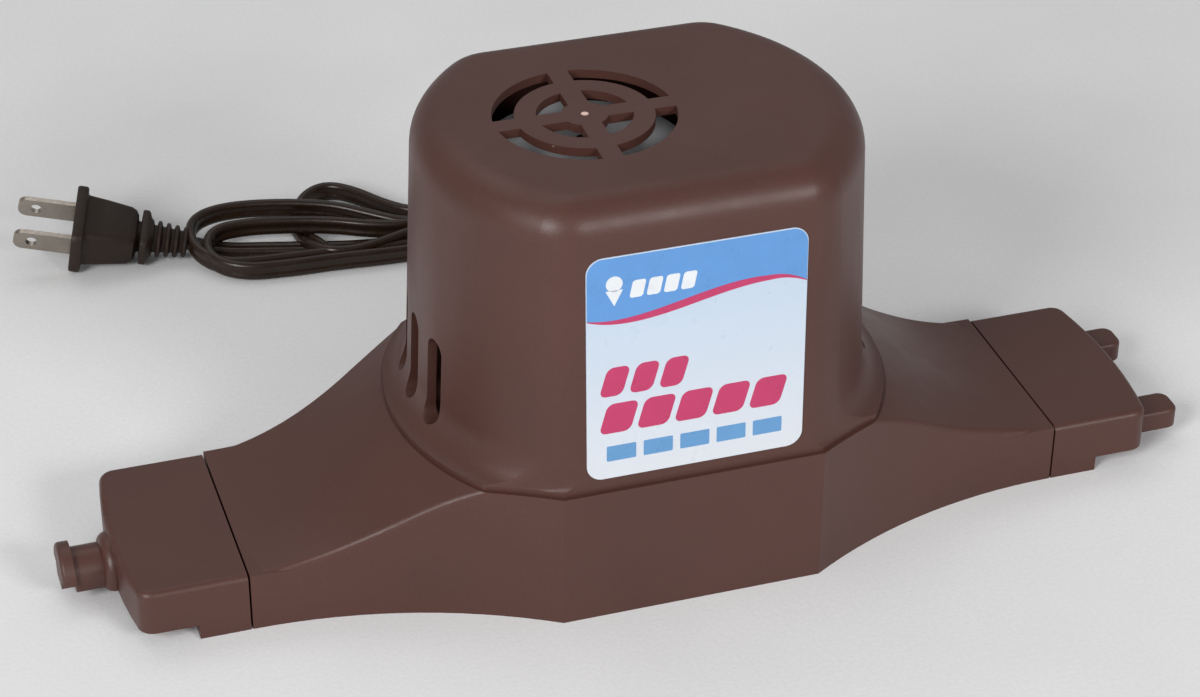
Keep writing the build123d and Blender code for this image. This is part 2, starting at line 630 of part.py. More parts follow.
# ================================================================ front label
FACE_LEAN = radians(DOME_DRAFT)
label_plane = Plane(
    origin=(0, -DOME_FOOT_HALF_Y + (LABEL_MIDDLE_Z - RIM_Z) * tan(FACE_LEAN), LABEL_MIDDLE_Z),
    x_dir=(1, 0, 0),
    z_dir=(0, -cos(FACE_LEAN), sin(FACE_LEAN)),
)
with BuildPart() as front_label:
    with BuildSketch(label_plane):
        RectangleRounded(LABEL_WIDTH, LABEL_HEIGHT, LABEL_CORNER_R)
    extrude(amount=LABEL_THICKNESS)
save(front_label, "front_label")

# ================================================================ gear plate and output
with BuildPart() as gear_plate:
    with BuildSketch(Plane.XY.offset(GEAR_PLATE_Z)):
        Circle(GEAR_PLATE_R)
        add(cover_outline(WALL + 2 * GAP, 0), mode=Mode.INTERSECT)
        Circle(BUSHING_R, mode=Mode.SUBTRACT)
        with Locations(*POSTS):
            Circle(SCREW_R, mode=Mode.SUBTRACT)
        with Locations((IDLER_X, IDLER_Y)):
            Circle(IDLER_PIN_R, mode=Mode.SUBTRACT)
        with Locations((MOTOR_X, 0)):
            Circle(SHAFT_HOLE_R, mode=Mode.SUBTRACT)
            with GridLocations(*MOUNT_SPACING, 2, 2):
                Circle(SCREW_R, mode=Mode.SUBTRACT)
        with Locations((CORD_X, CONNECTOR_Y)):
            Rectangle(*WIRE_SLOT, mode=Mode.SUBTRACT)
    extrude(amount=GEAR_PLATE_THICKNESS)
save(gear_plate, "gear_plate")

with BuildPart() as drive_hub:
    with BuildSketch(Plane.XY.offset(HUB_LOW_Z)):
        Circle(HUB_R)
    extrude(amount=HUB_BODY_TOP_Z - HUB_LOW_Z)
    with BuildSketch(Plane.XY.offset(HUB_BODY_TOP_Z)):
        Circle(HUB_STEM_R)
    extrude(amount=HUB_STEM_TOP_Z - HUB_BODY_TOP_Z)
    chamfer(drive_hub.faces().sort_by(Axis.Z)[-1].edges(), HUB_CHAMFER)
    with BuildSketch(Plane.XY.offset(HUB_LOW_Z)):
        Circle(SOCKET_ENTRY_R)
    extrude(amount=SOCKET_ENTRY_DEPTH, mode=Mode.SUBTRACT)
    with BuildSketch(Plane.XY.offset(HUB_LOW_Z)):
        Rectangle(SOCKET_SIDE, SOCKET_SIDE)
    extrude(amount=SOCKET_TOP_Z - HUB_LOW_Z, mode=Mode.SUBTRACT)
save(drive_hub, "drive_hub")

with BuildPart() as output_gear:
    extrude(
        gear_face(OUTPUT_TEETH, SECOND_MODULE, OUTPUT_TO_IDLER, HUB_R, OUTPUT_GEAR_Z),
        amount=OUTPUT_GEAR_HEIGHT,
    )
    # lightened web between the rim and the hub
    for web_z in (OUTPUT_GEAR_Z, OUTPUT_GEAR_Z + OUTPUT_GEAR_HEIGHT - WEB_RECESS):
        with BuildSketch(Plane.XY.offset(web_z)):
            Circle(WEB_OUTER_R)
            Circle(WEB_INNER_R, mode=Mode.SUBTRACT)
        extrude(amount=WEB_RECESS, mode=Mode.SUBTRACT)
    with BuildSketch(Plane.XY.offset(OUTPUT_GEAR_Z)):
        with PolarLocations((WEB_OUTER_R + WEB_INNER_R) / 2, WEB_HOLES):
            Circle(WEB_HOLE_R)
    extrude(amount=OUTPUT_GEAR_HEIGHT, mode=Mode.SUBTRACT)
save(output_gear, "output_gear")

with BuildPart() as thrust_washer:
    with BuildSketch(Plane.XY.offset(HUB_BOSS_TOP_Z)):
        Circle(HUB_BOSS_R)
        Circle(HUB_R + RUNNING, mode=Mode.SUBTRACT)
    extrude(amount=WASHER_THICKNESS)
save(thrust_washer, "thrust_washer")

with BuildPart() as hub_bushing:
    with BuildSketch(Plane.XY.offset(GEAR_PLATE_Z)):
        Circle(BUSHING_R)
    extrude(amount=GEAR_PLATE_THICKNESS)
    with BuildSketch(Plane.XY.offset(GEAR_PLATE_Z - BUSHING_FLANGE)):
        Circle(BUSHING_FLANGE_R)
    extrude(amount=BUSHING_FLANGE)
    with BuildSketch(Plane.XY.offset(GEAR_PLATE_Z - BUSHING_FLANGE)):
        Circle(HUB_STEM_R + RUNNING)
    extrude(amount=GEAR_PLATE_THICKNESS + BUSHING_FLANGE, mode=Mode.SUBTRACT)
save(hub_bushing, "hub_bushing")

# ================================================================ idler and motor pinion
with BuildPart() as idler_gear:
    idler_axis = (IDLER_X, IDLER_Y)
    extrude(
        gear_face(
            IDLER_PINION_TEETH,
            SECOND_MODULE,
            OUTPUT_TO_IDLER + 180 + 180 / IDLER_PINION_TEETH,
            IDLER_PIN_R + RUNNING,
            IDLER_PINION_Z,
            idler_axis,
        ),
        amount=IDLER_GEAR_Z - IDLER_PINION_Z,
    )
    extrude(
        gear_face(
            IDLER_TEETH,
            FIRST_MODULE,
            MOTOR_TO_IDLER + 180 + 180 / IDLER_TEETH,
            IDLER_PIN_R + RUNNING,
            IDLER_GEAR_Z,
            idler_axis,
        ),
        amount=IDLER_GEAR_HEIGHT,
    )
    with BuildSketch(Plane((*idler_axis, IDLER_GEAR_Z + IDLER_GEAR_HEIGHT))):
        Circle(IDLER_COLLAR_R)
        Circle(IDLER_PIN_R + RUNNING, mode=Mode.SUBTRACT)
    extrude(amount=GEAR_PLATE_Z - IDLER_GEAR_Z - IDLER_GEAR_HEIGHT - END_FLOAT)
    with BuildSketch(Plane((*idler_axis, IDLER_GEAR_Z))):
        with PolarLocations(IDLER_HOLE_CIRCLE_R, WEB_HOLES):
            Circle(IDLER_HOLE_R)
    extrude(amount=IDLER_GEAR_HEIGHT, mode=Mode.SUBTRACT)
save(idler_gear, "idler_gear")

with BuildPart() as idler_pin:
    with BuildSketch(Plane((IDLER_X, IDLER_Y, IDLER_PIN_LOW_Z))):
        Circle(IDLER_PIN_R)
    extrude(amount=GEAR_PLATE_Z + GEAR_PLATE_THICKNESS - IDLER_PIN_LOW_Z)
save(idler_pin, "idler_pin")

with BuildPart() as motor_pinion:
    extrude(
        gear_face(PINION_TEETH, FIRST_MODULE, MOTOR_TO_IDLER, PINION_BORE_R, MOTOR_PINION_Z, (MOTOR_X, 0)),
        amount=MOTOR_PINION_HEIGHT,
    )
save(motor_pinion, "motor_pinion")

# ================================================================ motor
STACK_TOP_Z = STACK_Z + STACK_HEIGHT
UPPER_STRAP_Z = STACK_TOP_Z + UPPER_POST_HEIGHT
LOWER_BEARING_Z = BRACKET_Z + BEARING_LEDGE
UPPER_BEARING_Z = UPPER_STRAP_Z + BRACKET_THICKNESS - BEARING_HEIGHT - BEARING_LEDGE
motor_plane = Plane((MOTOR_X, 0, 0))
stator_screws = [(MOTOR_X, -SCREW_Y), (MOTOR_X, SCREW_Y)]

with BuildPart() as motor_shaft:
    with BuildSketch(motor_plane.offset(PINION_SEAT_Z)):
        Circle(SHAFT_R)
    extrude(amount=SHAFT_TOP_Z - PINION_SEAT_Z)
    chamfer(motor_shaft.faces().sort_by(Axis.Z)[-1].edges(), SHAFT_CHAMFER)
    with BuildSketch(motor_plane.offset(SHAFT_LOW_Z)):
        Circle(PINION_BORE_R)
    extrude(amount=PINION_SEAT_Z - SHAFT_LOW_Z)
save(motor_shaft, "motor_shaft")

with BuildPart() as rotor_core:
    with BuildSketch(motor_plane.offset(STACK_Z)):
        Circle(ROTOR_R)
        Circle(SHAFT_R, mode=Mode.SUBTRACT)
    extrude(amount=STACK_HEIGHT)
save(rotor_core, "rotor_core")

with BuildPart() as rotor_end_rings:
    for ring_z in (STACK_Z - END_RING_HEIGHT, STACK_TOP_Z):
        with BuildSketch(motor_plane.offset(ring_z)):
            Circle(ROTOR_R - AIR_GAP)
            Circle(ROTOR_R * END_RING_BORE, mode=Mode.SUBTRACT)
        extrude(amount=END_RING_HEIGHT)
save(rotor_end_rings, "rotor_end_rings")

with BuildPart() as stator_laminations:
    with BuildSketch(Plane.XY.offset(STACK_Z)):
        with Locations((MOTOR_X - BLOCK_HALF, 0)):
            Rectangle(
                CORE_X[1] - MOTOR_X + BLOCK_HALF, 2 * BLOCK_HALF, align=(Align.MIN, Align.CENTER)
            )
        with Locations((MOTOR_X + BLOCK_HALF, 0)):
            Rectangle(
                CORE_X[0] - MOTOR_X - BLOCK_HALF,
                2 * (BLOCK_HALF - LEG_WIDTH),
                align=(Align.MIN, Align.CENTER),
                mode=Mode.SUBTRACT,
            )
        with Locations((MOTOR_X, 0)):
            Circle(ROTOR_R + AIR_GAP, mode=Mode.SUBTRACT)
        with Locations(*stator_screws):
            Circle(SCREW_R, mode=Mode.SUBTRACT)
        with Locations(*RING_SPOTS):
            with GridLocations(RING_SIZE[0] - RING_SIZE[1], 0, 2, 1):
                Rectangle(RING_SIZE[1], RING_SIZE[1], mode=Mode.SUBTRACT)
    extrude(amount=STACK_HEIGHT)
save(stator_laminations, "stator_laminations")

with BuildPart() as shading_rings:
    for spot_x, spot_y in RING_SPOTS:
        with BuildSketch(Plane.XZ.offset(-spot_y - RING_SIZE[1] / 2)):
            with Locations((spot_x, STACK_Z + STACK_HEIGHT / 2)):
                Rectangle(RING_SIZE[0], STACK_HEIGHT + 2 * RING_SIZE[1])
                Rectangle(RING_SIZE[0] - 2 * RING_SIZE[1], STACK_HEIGHT, mode=Mode.SUBTRACT)
        extrude(amount=RING_SIZE[1])
save(shading_rings, "shading_rings")

CORE_MIDDLE = ((CORE_X[0] + CORE_X[1]) / 2, STACK_Z + STACK_HEIGHT / 2)
CORE_WIDTH = CORE_X[1] - CORE_X[0]
COIL_LENGTH = 2 * (BLOCK_HALF - LEG_WIDTH)


def core_ring(inner, outer, length, start_y):
    """Square tube round the coil's core, from inner to outer build, along Y."""
    with BuildPart() as ring:
        with BuildSketch(Plane.XZ.offset(-start_y - length)):
            with Locations(CORE_MIDDLE):
                RectangleRounded(CORE_WIDTH + 2 * outer, STACK_HEIGHT + 2 * outer, outer * WINDING_ROUND)
                Rectangle(CORE_WIDTH + 2 * inner, STACK_HEIGHT + 2 * inner, mode=Mode.SUBTRACT)
        extrude(amount=length)
    return ring.part


with BuildPart() as coil_bobbin:
    add(core_ring(0, BOBBIN_WALL, COIL_LENGTH, -COIL_LENGTH / 2))
    for flange_y in (-COIL_LENGTH / 2, COIL_LENGTH / 2 - BOBBIN_WALL):
        add(core_ring(0, COIL_BUILD, BOBBIN_WALL, flange_y))
save(coil_bobbin, "coil_bobbin")

with BuildPart() as motor_coil:
    winding = COIL_LENGTH - 2 * BOBBIN_WALL
    add(core_ring(BOBBIN_WALL, COIL_BUILD - BOBBIN_WALL, winding, -winding / 2))
save(motor_coil, "motor_coil")

with BuildPart() as thermal_fuse:
    fuse_z = CORE_MIDDLE[1] + STACK_HEIGHT / 2 + COIL_BUILD - BOBBIN_WALL + FUSE_R
    with BuildSketch(Plane.XZ.offset(-FUSE_LENGTH / 2)):
        with Locations((CORE_MIDDLE[0], fuse_z)):
            Circle(FUSE_R)
    extrude(amount=FUSE_LENGTH)
    chamfer(thermal_fuse.faces().filter_by(GeomType.PLANE).edges(), FUSE_CHAMFER)
save(thermal_fuse, "thermal_fuse")

with BuildPart() as lower_bracket:
    with BuildSketch(motor_plane.offset(BRACKET_Z)):
        RectangleRounded(BRACKET_WIDTH, BRACKET_DEPTH, MOUNT_R)
        with GridLocations(*MOUNT_SPACING, 2, 2):
            Circle(SCREW_R, mode=Mode.SUBTRACT)
        for side in (-1, 1):
            with Locations((side * BRACKET_WINDOW_X, 0)):
                RectangleRounded(*BRACKET_WINDOW, BRACKET_THICKNESS, mode=Mode.SUBTRACT)
    extrude(amount=BRACKET_THICKNESS)
    with BuildSketch(motor_plane.offset(BRACKET_Z)):
        Circle(SEAT_R)
    extrude(amount=BEARING_HEIGHT + BEARING_LEDGE)
    with BuildSketch(Plane.XY.offset(BRACKET_Z + BRACKET_THICKNESS)):
        with Locations(*stator_screws):
            Circle(BRACKET_POST_R)
    extrude(amount=STACK_Z - BRACKET_Z - BRACKET_THICKNESS)
    with BuildSketch(motor_plane.offset(LOWER_BEARING_Z)):
        Circle(BEARING_R)
    extrude(amount=BEARING_HEIGHT, mode=Mode.SUBTRACT)
    with BuildSketch(motor_plane.offset(BRACKET_Z)):
        Circle(SHAFT_HOLE_R)
    extrude(amount=BRACKET_THICKNESS, mode=Mode.SUBTRACT)
    add(
        pin_holes(stator_screws, SCREW_R, STACK_Z - STATOR_SCREW_GRIP, STATOR_SCREW_GRIP),
        mode=Mode.SUBTRACT,
    )
save(lower_bracket, "lower_bracket")

with BuildPart() as upper_bracket:
    with BuildSketch(motor_plane.offset(UPPER_STRAP_Z)):
        RectangleRounded(STRAP_WIDTH, STRAP_LENGTH, STRAP_CORNER_R)
    extrude(amount=BRACKET_THICKNESS)
    with BuildSketch(motor_plane.offset(UPPER_BEARING_Z)):
        Circle(SEAT_R)
    extrude(amount=UPPER_STRAP_Z + BRACKET_THICKNESS - UPPER_BEARING_Z)
    with BuildSketch(Plane.XY.offset(STACK_TOP_Z)):
        with Locations(*stator_screws):
            Circle(BRACKET_POST_R)
    extrude(amount=UPPER_POST_HEIGHT)
    with BuildSketch(motor_plane.offset(UPPER_BEARING_Z)):
        Circle(BEARING_R)
    extrude(amount=BEARING_HEIGHT, mode=Mode.SUBTRACT)
    with BuildSketch(motor_plane.offset(UPPER_STRAP_Z)):
        Circle(SHAFT_HOLE_R)
    extrude(amount=BRACKET_THICKNESS, mode=Mode.SUBTRACT)
    add(
        pin_holes(stator_screws, SCREW_R, STACK_TOP_Z, UPPER_POST_HEIGHT + BRACKET_THICKNESS),
        mode=Mode.SUBTRACT,
    )
save(upper_bracket, "upper_bracket")


def bearing_sleeve(low_z):
    """Sintered sleeve for the motor shaft, with chamfered ends."""
    with BuildPart() as sleeve:
        with BuildSketch(motor_plane.offset(low_z)):
            Circle(BEARING_R)
        extrude(amount=BEARING_HEIGHT)
        with BuildSketch(motor_plane.offset(low_z)):
            Circle(SHAFT_R + RUNNING)
        extrude(amount=BEARING_HEIGHT, mode=Mode.SUBTRACT)
    return sleeve.part


for bearing_name, bearing_z in (("lower_bearing", LOWER_BEARING_Z), ("upper_bearing", UPPER_BEARING_Z)):
    with BuildPart() as bearing:
        add(bearing_sleeve(bearing_z))
    save(bearing, bearing_name)

with BuildSketch() as fan_vane:
    with BuildLine():
        root = Vector(FAN_HUB_R - VANE_THICKNESS, 0)
        middle = Vector((FAN_R + FAN_HUB_R) / 2, 0).rotate(Axis.Z, VANE_SWEEP * VANE_BOW)
        tip = Vector(FAN_R - VANE_THICKNESS, 0).rotate(Axis.Z, VANE_SWEEP)
        vane_line = ThreePointArc(root, middle, tip)
        offset(amount=VANE_THICKNESS / 2)
        add(vane_line, mode=Mode.SUBTRACT)
    make_face()

with BuildPart() as cooling_fan:
    with BuildSketch(motor_plane.offset(FAN_Z + FAN_HEIGHT - FAN_DISC)):
        Circle(FAN_R)
        Circle(SHAFT_R, mode=Mode.SUBTRACT)
    extrude(amount=FAN_DISC)
    with BuildSketch(motor_plane.offset(FAN_Z)):
        Circle(FAN_HUB_R)
        Circle(SHAFT_R, mode=Mode.SUBTRACT)
    extrude(amount=FAN_HEIGHT)
    with BuildSketch(motor_plane.offset(FAN_Z)):
        with PolarLocations(0, FAN_VANES):
            add(fan_vane.sketch)
        Circle(SHAFT_R, mode=Mode.SUBTRACT)
    extrude(amount=FAN_HEIGHT - FAN_DISC)
save(cooling_fan, "cooling_fan")

with BuildPart() as rubber_mounts:
    with BuildSketch(motor_plane.offset(GEAR_PLATE_Z + GEAR_PLATE_THICKNESS)):
        with GridLocations(*MOUNT_SPACING, 2, 2):
            Circle(MOUNT_R)
            Circle(SCREW_R, mode=Mode.SUBTRACT)
    extrude(amount=BRACKET_Z - GEAR_PLATE_Z - GEAR_PLATE_THICKNESS)
save(rubber_mounts, "rubber_mounts")

# ================================================================ fasteners


def screw(x, y, head_face_z, grip, up):
    """Pan head screw on a vertical axis: its head rests on head_face_z, its shank runs up or down."""
    toward = 1 if up else -1
    with BuildPart() as piece:
        with BuildSketch(Plane.XY.offset(head_face_z)):
            with Locations((x, y)):
                Circle(SCREW_R)
        extrude(amount=toward * grip)
        with BuildSketch(Plane.XY.offset(head_face_z)):
            with Locations((x, y)):
                Circle(SCREW_HEAD_R)
        extrude(amount=-toward * SCREW_HEAD_HEIGHT)
        head_z = head_face_z - toward * SCREW_HEAD_HEIGHT
        with BuildSketch(Plane.XY.offset(head_z)):
            with Locations((x, y)):
                Rectangle(SLOT_LENGTH, SLOT_WIDTH)
                Rectangle(SLOT_WIDTH, SLOT_LENGTH)
        extrude(amount=toward * SLOT_DEPTH, mode=Mode.SUBTRACT)
    return piece.part


def corners(spacing, centre_x=0.0):
    """The four corner points of a rectangle about (centre_x, 0)."""
    return [
        (centre_x + side_x * spacing[0] / 2, side_y * spacing[1] / 2)
        for side_x in (-1, 1)
        for side_y in (-1, 1)
    ]


PLATE_TOP_Z = GEAR_PLATE_Z + GEAR_PLATE_THICKNESS
BRACKET_TOP_Z = BRACKET_Z + BRACKET_THICKNESS
STRAP_TOP_Z = UPPER_STRAP_Z + BRACKET_THICKNESS
DOME_SPACING = (2 * DOME_BOSS[0], 2 * DOME_BOSS[1])
# name: (points, height of the face under the head, shank length, whether the shank runs up)
SCREW_GROUPS = {
    "cover_screws": (
        corners(COVER_BOSSES), SCREW_HEAD_HEIGHT, FLOOR - SCREW_HEAD_HEIGHT + COVER_SCREW_GRIP, True
    ),
    "dome_screws": (corners(DOME_SPACING), RIM_Z - WALL, WALL + DOME_SCREW_GRIP - TIP_SPACE, True),
    "plate_screws": (POSTS, PLATE_TOP_Z, GEAR_PLATE_THICKNESS + PLATE_SCREW_GRIP - TIP_SPACE, False),
    "mount_screws": (
        corners(MOUNT_SPACING, MOTOR_X), BRACKET_TOP_Z, BRACKET_TOP_Z - GEAR_PLATE_Z, False
    ),
    "motor_screws": (
        stator_screws, STRAP_TOP_Z, STRAP_TOP_Z - STACK_Z + STATOR_SCREW_GRIP - TIP_SPACE, False
    ),
}
for group_name, (points, face_z, grip, up) in SCREW_GROUPS.items():
    with BuildPart() as screws:
        for x, y in points:
            add(screw(x, y, face_z, grip, up))
    save(screws, group_name)

# ================================================================ wiring


def tube(points, bend_radii, radius):
    """Round tube along straight runs joined by tangent arcs."""
    with BuildPart() as run:
        with BuildLine() as path:
            FilletPolyline(*points, radius=bend_radii)
        with BuildSketch(Plane(origin=path.line @ 0, z_dir=path.line % 0)):
            Circle(radius)
        sweep()
    return run.part


CONNECTOR_TOP_Z = CONNECTOR_Z + CONNECTOR_HEIGHT
with BuildPart() as wire_connectors:
    with BuildSketch(Plane.XY.offset(CONNECTOR_Z)):
        with Locations((CORD_X, CONNECTOR_Y)):
            with GridLocations(2 * CONNECTOR_X, 0, 2, 1):
                Circle(CONNECTOR_R)
    extrude(amount=CONNECTOR_HEIGHT)
    chamfer(wire_connectors.faces().sort_by(Axis.Z)[-2:].edges(), CONNECTOR_CHAMFER)
save(wire_connectors, "wire_connectors")

with BuildPart() as supply_wires:
    for side in (-1, 1):
        end_x = CORD_X + side * CONNECTOR_X
        start = (CORD_X + side * CORD_WIDTH / 4, SKIRT_HALF_Y - WALL - RELIEF_FLANGE, CORD_Z)
        turn = (end_x, CONNECTOR_Y, CORD_Z)
        add(tube([start, turn, (end_x, CONNECTOR_Y, CONNECTOR_Z)], WIRE_BEND_R, WIRE_R))
save(supply_wires, "supply_wires")

with BuildPart() as lead_wires:
    for side in (-1, 1):
        end_x = CORD_X + side * CONNECTOR_X
        lug_x = CORE_MIDDLE[0] + side * CONNECTOR_X
        route = [
            (end_x, CONNECTOR_Y, CONNECTOR_TOP_Z),
            (end_x, CONNECTOR_Y, BRACKET_Z),
            (lug_x, LUG_Y, BRACKET_Z),
            (lug_x, LUG_Y, CORE_MIDDLE[1] - STACK_HEIGHT / 2 - COIL_BUILD + BOBBIN_WALL),
        ]
        add(tube(route, WIRE_BEND_R, WIRE_R))
save(lead_wires, "lead_wires")

# ================================================================ strain relief and cord
with BuildPart() as strain_relief:
    exit_plane = Plane(origin=(CORD_X, SKIRT_HALF_Y, CORD_Z), x_dir=(1, 0, 0), z_dir=(0, 1, 0))
    with BuildSketch(exit_plane.offset(-WALL)):
        Circle(RELIEF_R[0])
    extrude(amount=WALL)
    with BuildSketch(exit_plane.offset(-WALL - RELIEF_FLANGE)):
        Circle(RELIEF_FLANGE_R)
    extrude(amount=RELIEF_FLANGE)
    with BuildSketch(exit_plane):
        Circle(RELIEF_FLANGE_R)
    extrude(amount=RELIEF_FLANGE)
    with BuildSketch(exit_plane.offset(RELIEF_FLANGE)):
        Circle(RELIEF_R[0])
    with BuildSketch(exit_plane.offset(RELIEF_LENGTH)):
        Circle(RELIEF_R[1])
    loft()
save(strain_relief, "strain_relief")


def corner_radii(points):
    """Bend radius for each corner, as large as its two runs allow."""
    found = []
    for before, corner, after in zip(points, points[1:], points[2:]):
        first = Vector(*corner) - Vector(*before)
        second = Vector(*after) - Vector(*corner)
        half_turn = radians(first.get_angle(second)) / 2
        found.append(ARC_SHARE * min(first.length, second.length) / tan(half_turn))
    return found


lead_radii = corner_radii(LEAD_ROUTE)
print("cord bend radii:", [round(r, 1) for r in lead_radii])
with BuildPart() as cord_lead:
    add(tube(LEAD_ROUTE, lead_radii, CORD_WIDTH / 2))
save(cord_lead, "cord_lead")


def capsule(near, far):
    """Plan outline round two circles, each given as x, y, radius."""
    with BuildSketch() as outline:
        for x, y, r in (near, far):
            with Locations((x, y)):
                Circle(r)
        make_hull()
    return outline.sketch


with BuildPart() as cord_hank:
    with BuildSketch(Plane.XY.offset(HANK_LOW_Z)):
        for near, far in zip(HANK_CIRCLES, HANK_CIRCLES[1:]):
            add(capsule(near, far))
    extrude(amount=HANK_HEIGHT)
    fillet(cord_hank.faces().filter_by(Axis.Z).edges(), HANK_EDGE_R)
save(cord_hank, "cord_hank")

# ================================================================ plug
plug_axis = Axis(
    PLUG_FACE, (cos(PLUG_DIP) * cos(PLUG_TURN), cos(PLUG_DIP) * sin(PLUG_TURN), -sin(PLUG_DIP))
)
plug_level = Vector(-sin(PLUG_TURN), cos(PLUG_TURN), 0)
plug_front = Plane(
    origin=PLUG_FACE, x_dir=plug_level.rotate(plug_axis, PLUG_ROLL), z_dir=plug_axis.direction
)
print("blade to blade direction", plug_front.x_dir)
with BuildPart() as plug_body:
    with BuildSketch(plug_front):
        RectangleRounded(*PLUG_FLANGE[:2], PLUG_CORNER_R)
    extrude(amount=PLUG_FLANGE[2])
    fillet(plug_body.edges().group_by(Axis(plug_front.origin, plug_front.z_dir))[-1], PLUG_EDGE_R)
    with BuildSketch(plug_front.offset(PLUG_FLANGE[2])):
        RectangleRounded(*PLUG_BODY_FRONT, PLUG_CORNER_R)
    with BuildSketch(plug_front.offset(PLUG_FLANGE[2] + PLUG_BODY_LENGTH)):
        RectangleRounded(*PLUG_BODY_BACK, PLUG_CORNER_R)
    loft()
    collar_start = PLUG_FLANGE[2] + PLUG_BODY_LENGTH
    with BuildSketch(plug_front.offset(collar_start)):
        RectangleRounded(*PLUG_COLLAR[:2], PLUG_CORNER_R)
    extrude(amount=PLUG_COLLAR[2])
    boot_start = collar_start + PLUG_COLLAR[2]
    with BuildSketch(plug_front.offset(boot_start)):
        Circle(BOOT_RADIUS)
    extrude(amount=BOOT_LENGTH)
    for ring in range(BOOT_RINGS):
        with BuildSketch(plug_front.offset(boot_start + BOOT_FIRST_RING + BOOT_RING_PITCH * ring)):
            Circle(BOOT_RING_R)
        extrude(amount=BOOT_RING_WIDTH)
save(plug_body, "plug_body")

blade_plane = Plane(origin=plug_front.origin, x_dir=-plug_front.z_dir, z_dir=plug_front.x_dir)
with BuildPart() as plug_blades:
    for side in (-1, 1):
        with BuildSketch(blade_plane.offset(side * BLADE_SPACING / 2 - BLADE[2] / 2)) as blade_face:
            Rectangle(BLADE[0], BLADE[1], align=(Align.MIN, Align.CENTER))
            fillet(blade_face.vertices().sort_by(Axis.X)[-2:], BLADE_TIP_R)
            with Locations((BLADE[0] - BLADE_HOLE_FROM_TIP, 0)):
                Circle(BLADE_HOLE_R, mode=Mode.SUBTRACT)
        extrude(amount=BLADE[2])
save(plug_blades, "plug_blades")
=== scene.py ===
from math import cos, pi, radians, sin, sqrt

import bmesh
import bpy
from mathutils import Matrix, Vector


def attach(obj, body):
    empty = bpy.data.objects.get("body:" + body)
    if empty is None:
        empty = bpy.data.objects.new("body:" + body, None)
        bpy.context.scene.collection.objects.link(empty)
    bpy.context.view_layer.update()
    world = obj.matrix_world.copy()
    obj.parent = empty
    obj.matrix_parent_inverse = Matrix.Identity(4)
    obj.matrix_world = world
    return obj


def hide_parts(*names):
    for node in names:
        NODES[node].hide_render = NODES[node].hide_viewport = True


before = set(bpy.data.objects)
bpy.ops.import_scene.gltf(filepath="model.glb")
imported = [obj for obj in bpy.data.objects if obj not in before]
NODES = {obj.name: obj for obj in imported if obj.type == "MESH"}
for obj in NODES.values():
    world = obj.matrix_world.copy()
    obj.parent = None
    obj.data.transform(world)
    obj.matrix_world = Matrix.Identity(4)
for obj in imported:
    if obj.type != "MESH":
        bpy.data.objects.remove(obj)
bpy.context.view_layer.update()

SCENE = bpy.context.scene
MM = 0.001

# ---------------------------------------------------------------- camera
CAMERA_PLACE = Vector((-207.0, -599.6, 454.8)) * MM
CAMERA_YAW = radians(18.3)      # turned from +Y towards +X
CAMERA_PITCH = radians(33.0)    # looking down
CAMERA_ROLL = radians(0.55)
CAMERA_LENS = 91.86


def make_camera():
    """Camera at the viewing angle of the reference view."""
    heading = Vector((sin(CAMERA_YAW), cos(CAMERA_YAW), 0))
    forward = heading * cos(CAMERA_PITCH) - Vector((0, 0, sin(CAMERA_PITCH)))
    level = Vector((cos(CAMERA_YAW), -sin(CAMERA_YAW), 0))
    upward = level.cross(forward)
    right = level * cos(CAMERA_ROLL) + upward * sin(CAMERA_ROLL)
    up = upward * cos(CAMERA_ROLL) - level * sin(CAMERA_ROLL)
    data = bpy.data.cameras.new("view_camera")
    data.sensor_width = 36
    data.lens = CAMERA_LENS
    camera = bpy.data.objects.new("view_camera", data)
    turn = Matrix((right, up, -forward)).transposed()
    camera.matrix_world = Matrix.Translation(CAMERA_PLACE) @ turn.to_4x4()
    SCENE.collection.objects.link(camera)
    SCENE.camera = camera


make_camera()

# ---------------------------------------------------------------- mains cord
CORD_WIDTH = 5.5 * MM           # flat twin cord, over both conductors
CORD_THICKNESS = 2.8 * MM
CORD_WEB = 2.1 * MM             # thickness of the web between the two conductors
SECTION_UNIT = MM               # the section is drawn in millimetres, and each point's radius scales it
FLAT = radians(90)              # tilt of a stretch that lies flat; on its edge it has none
HALF_FLAT = radians(45)

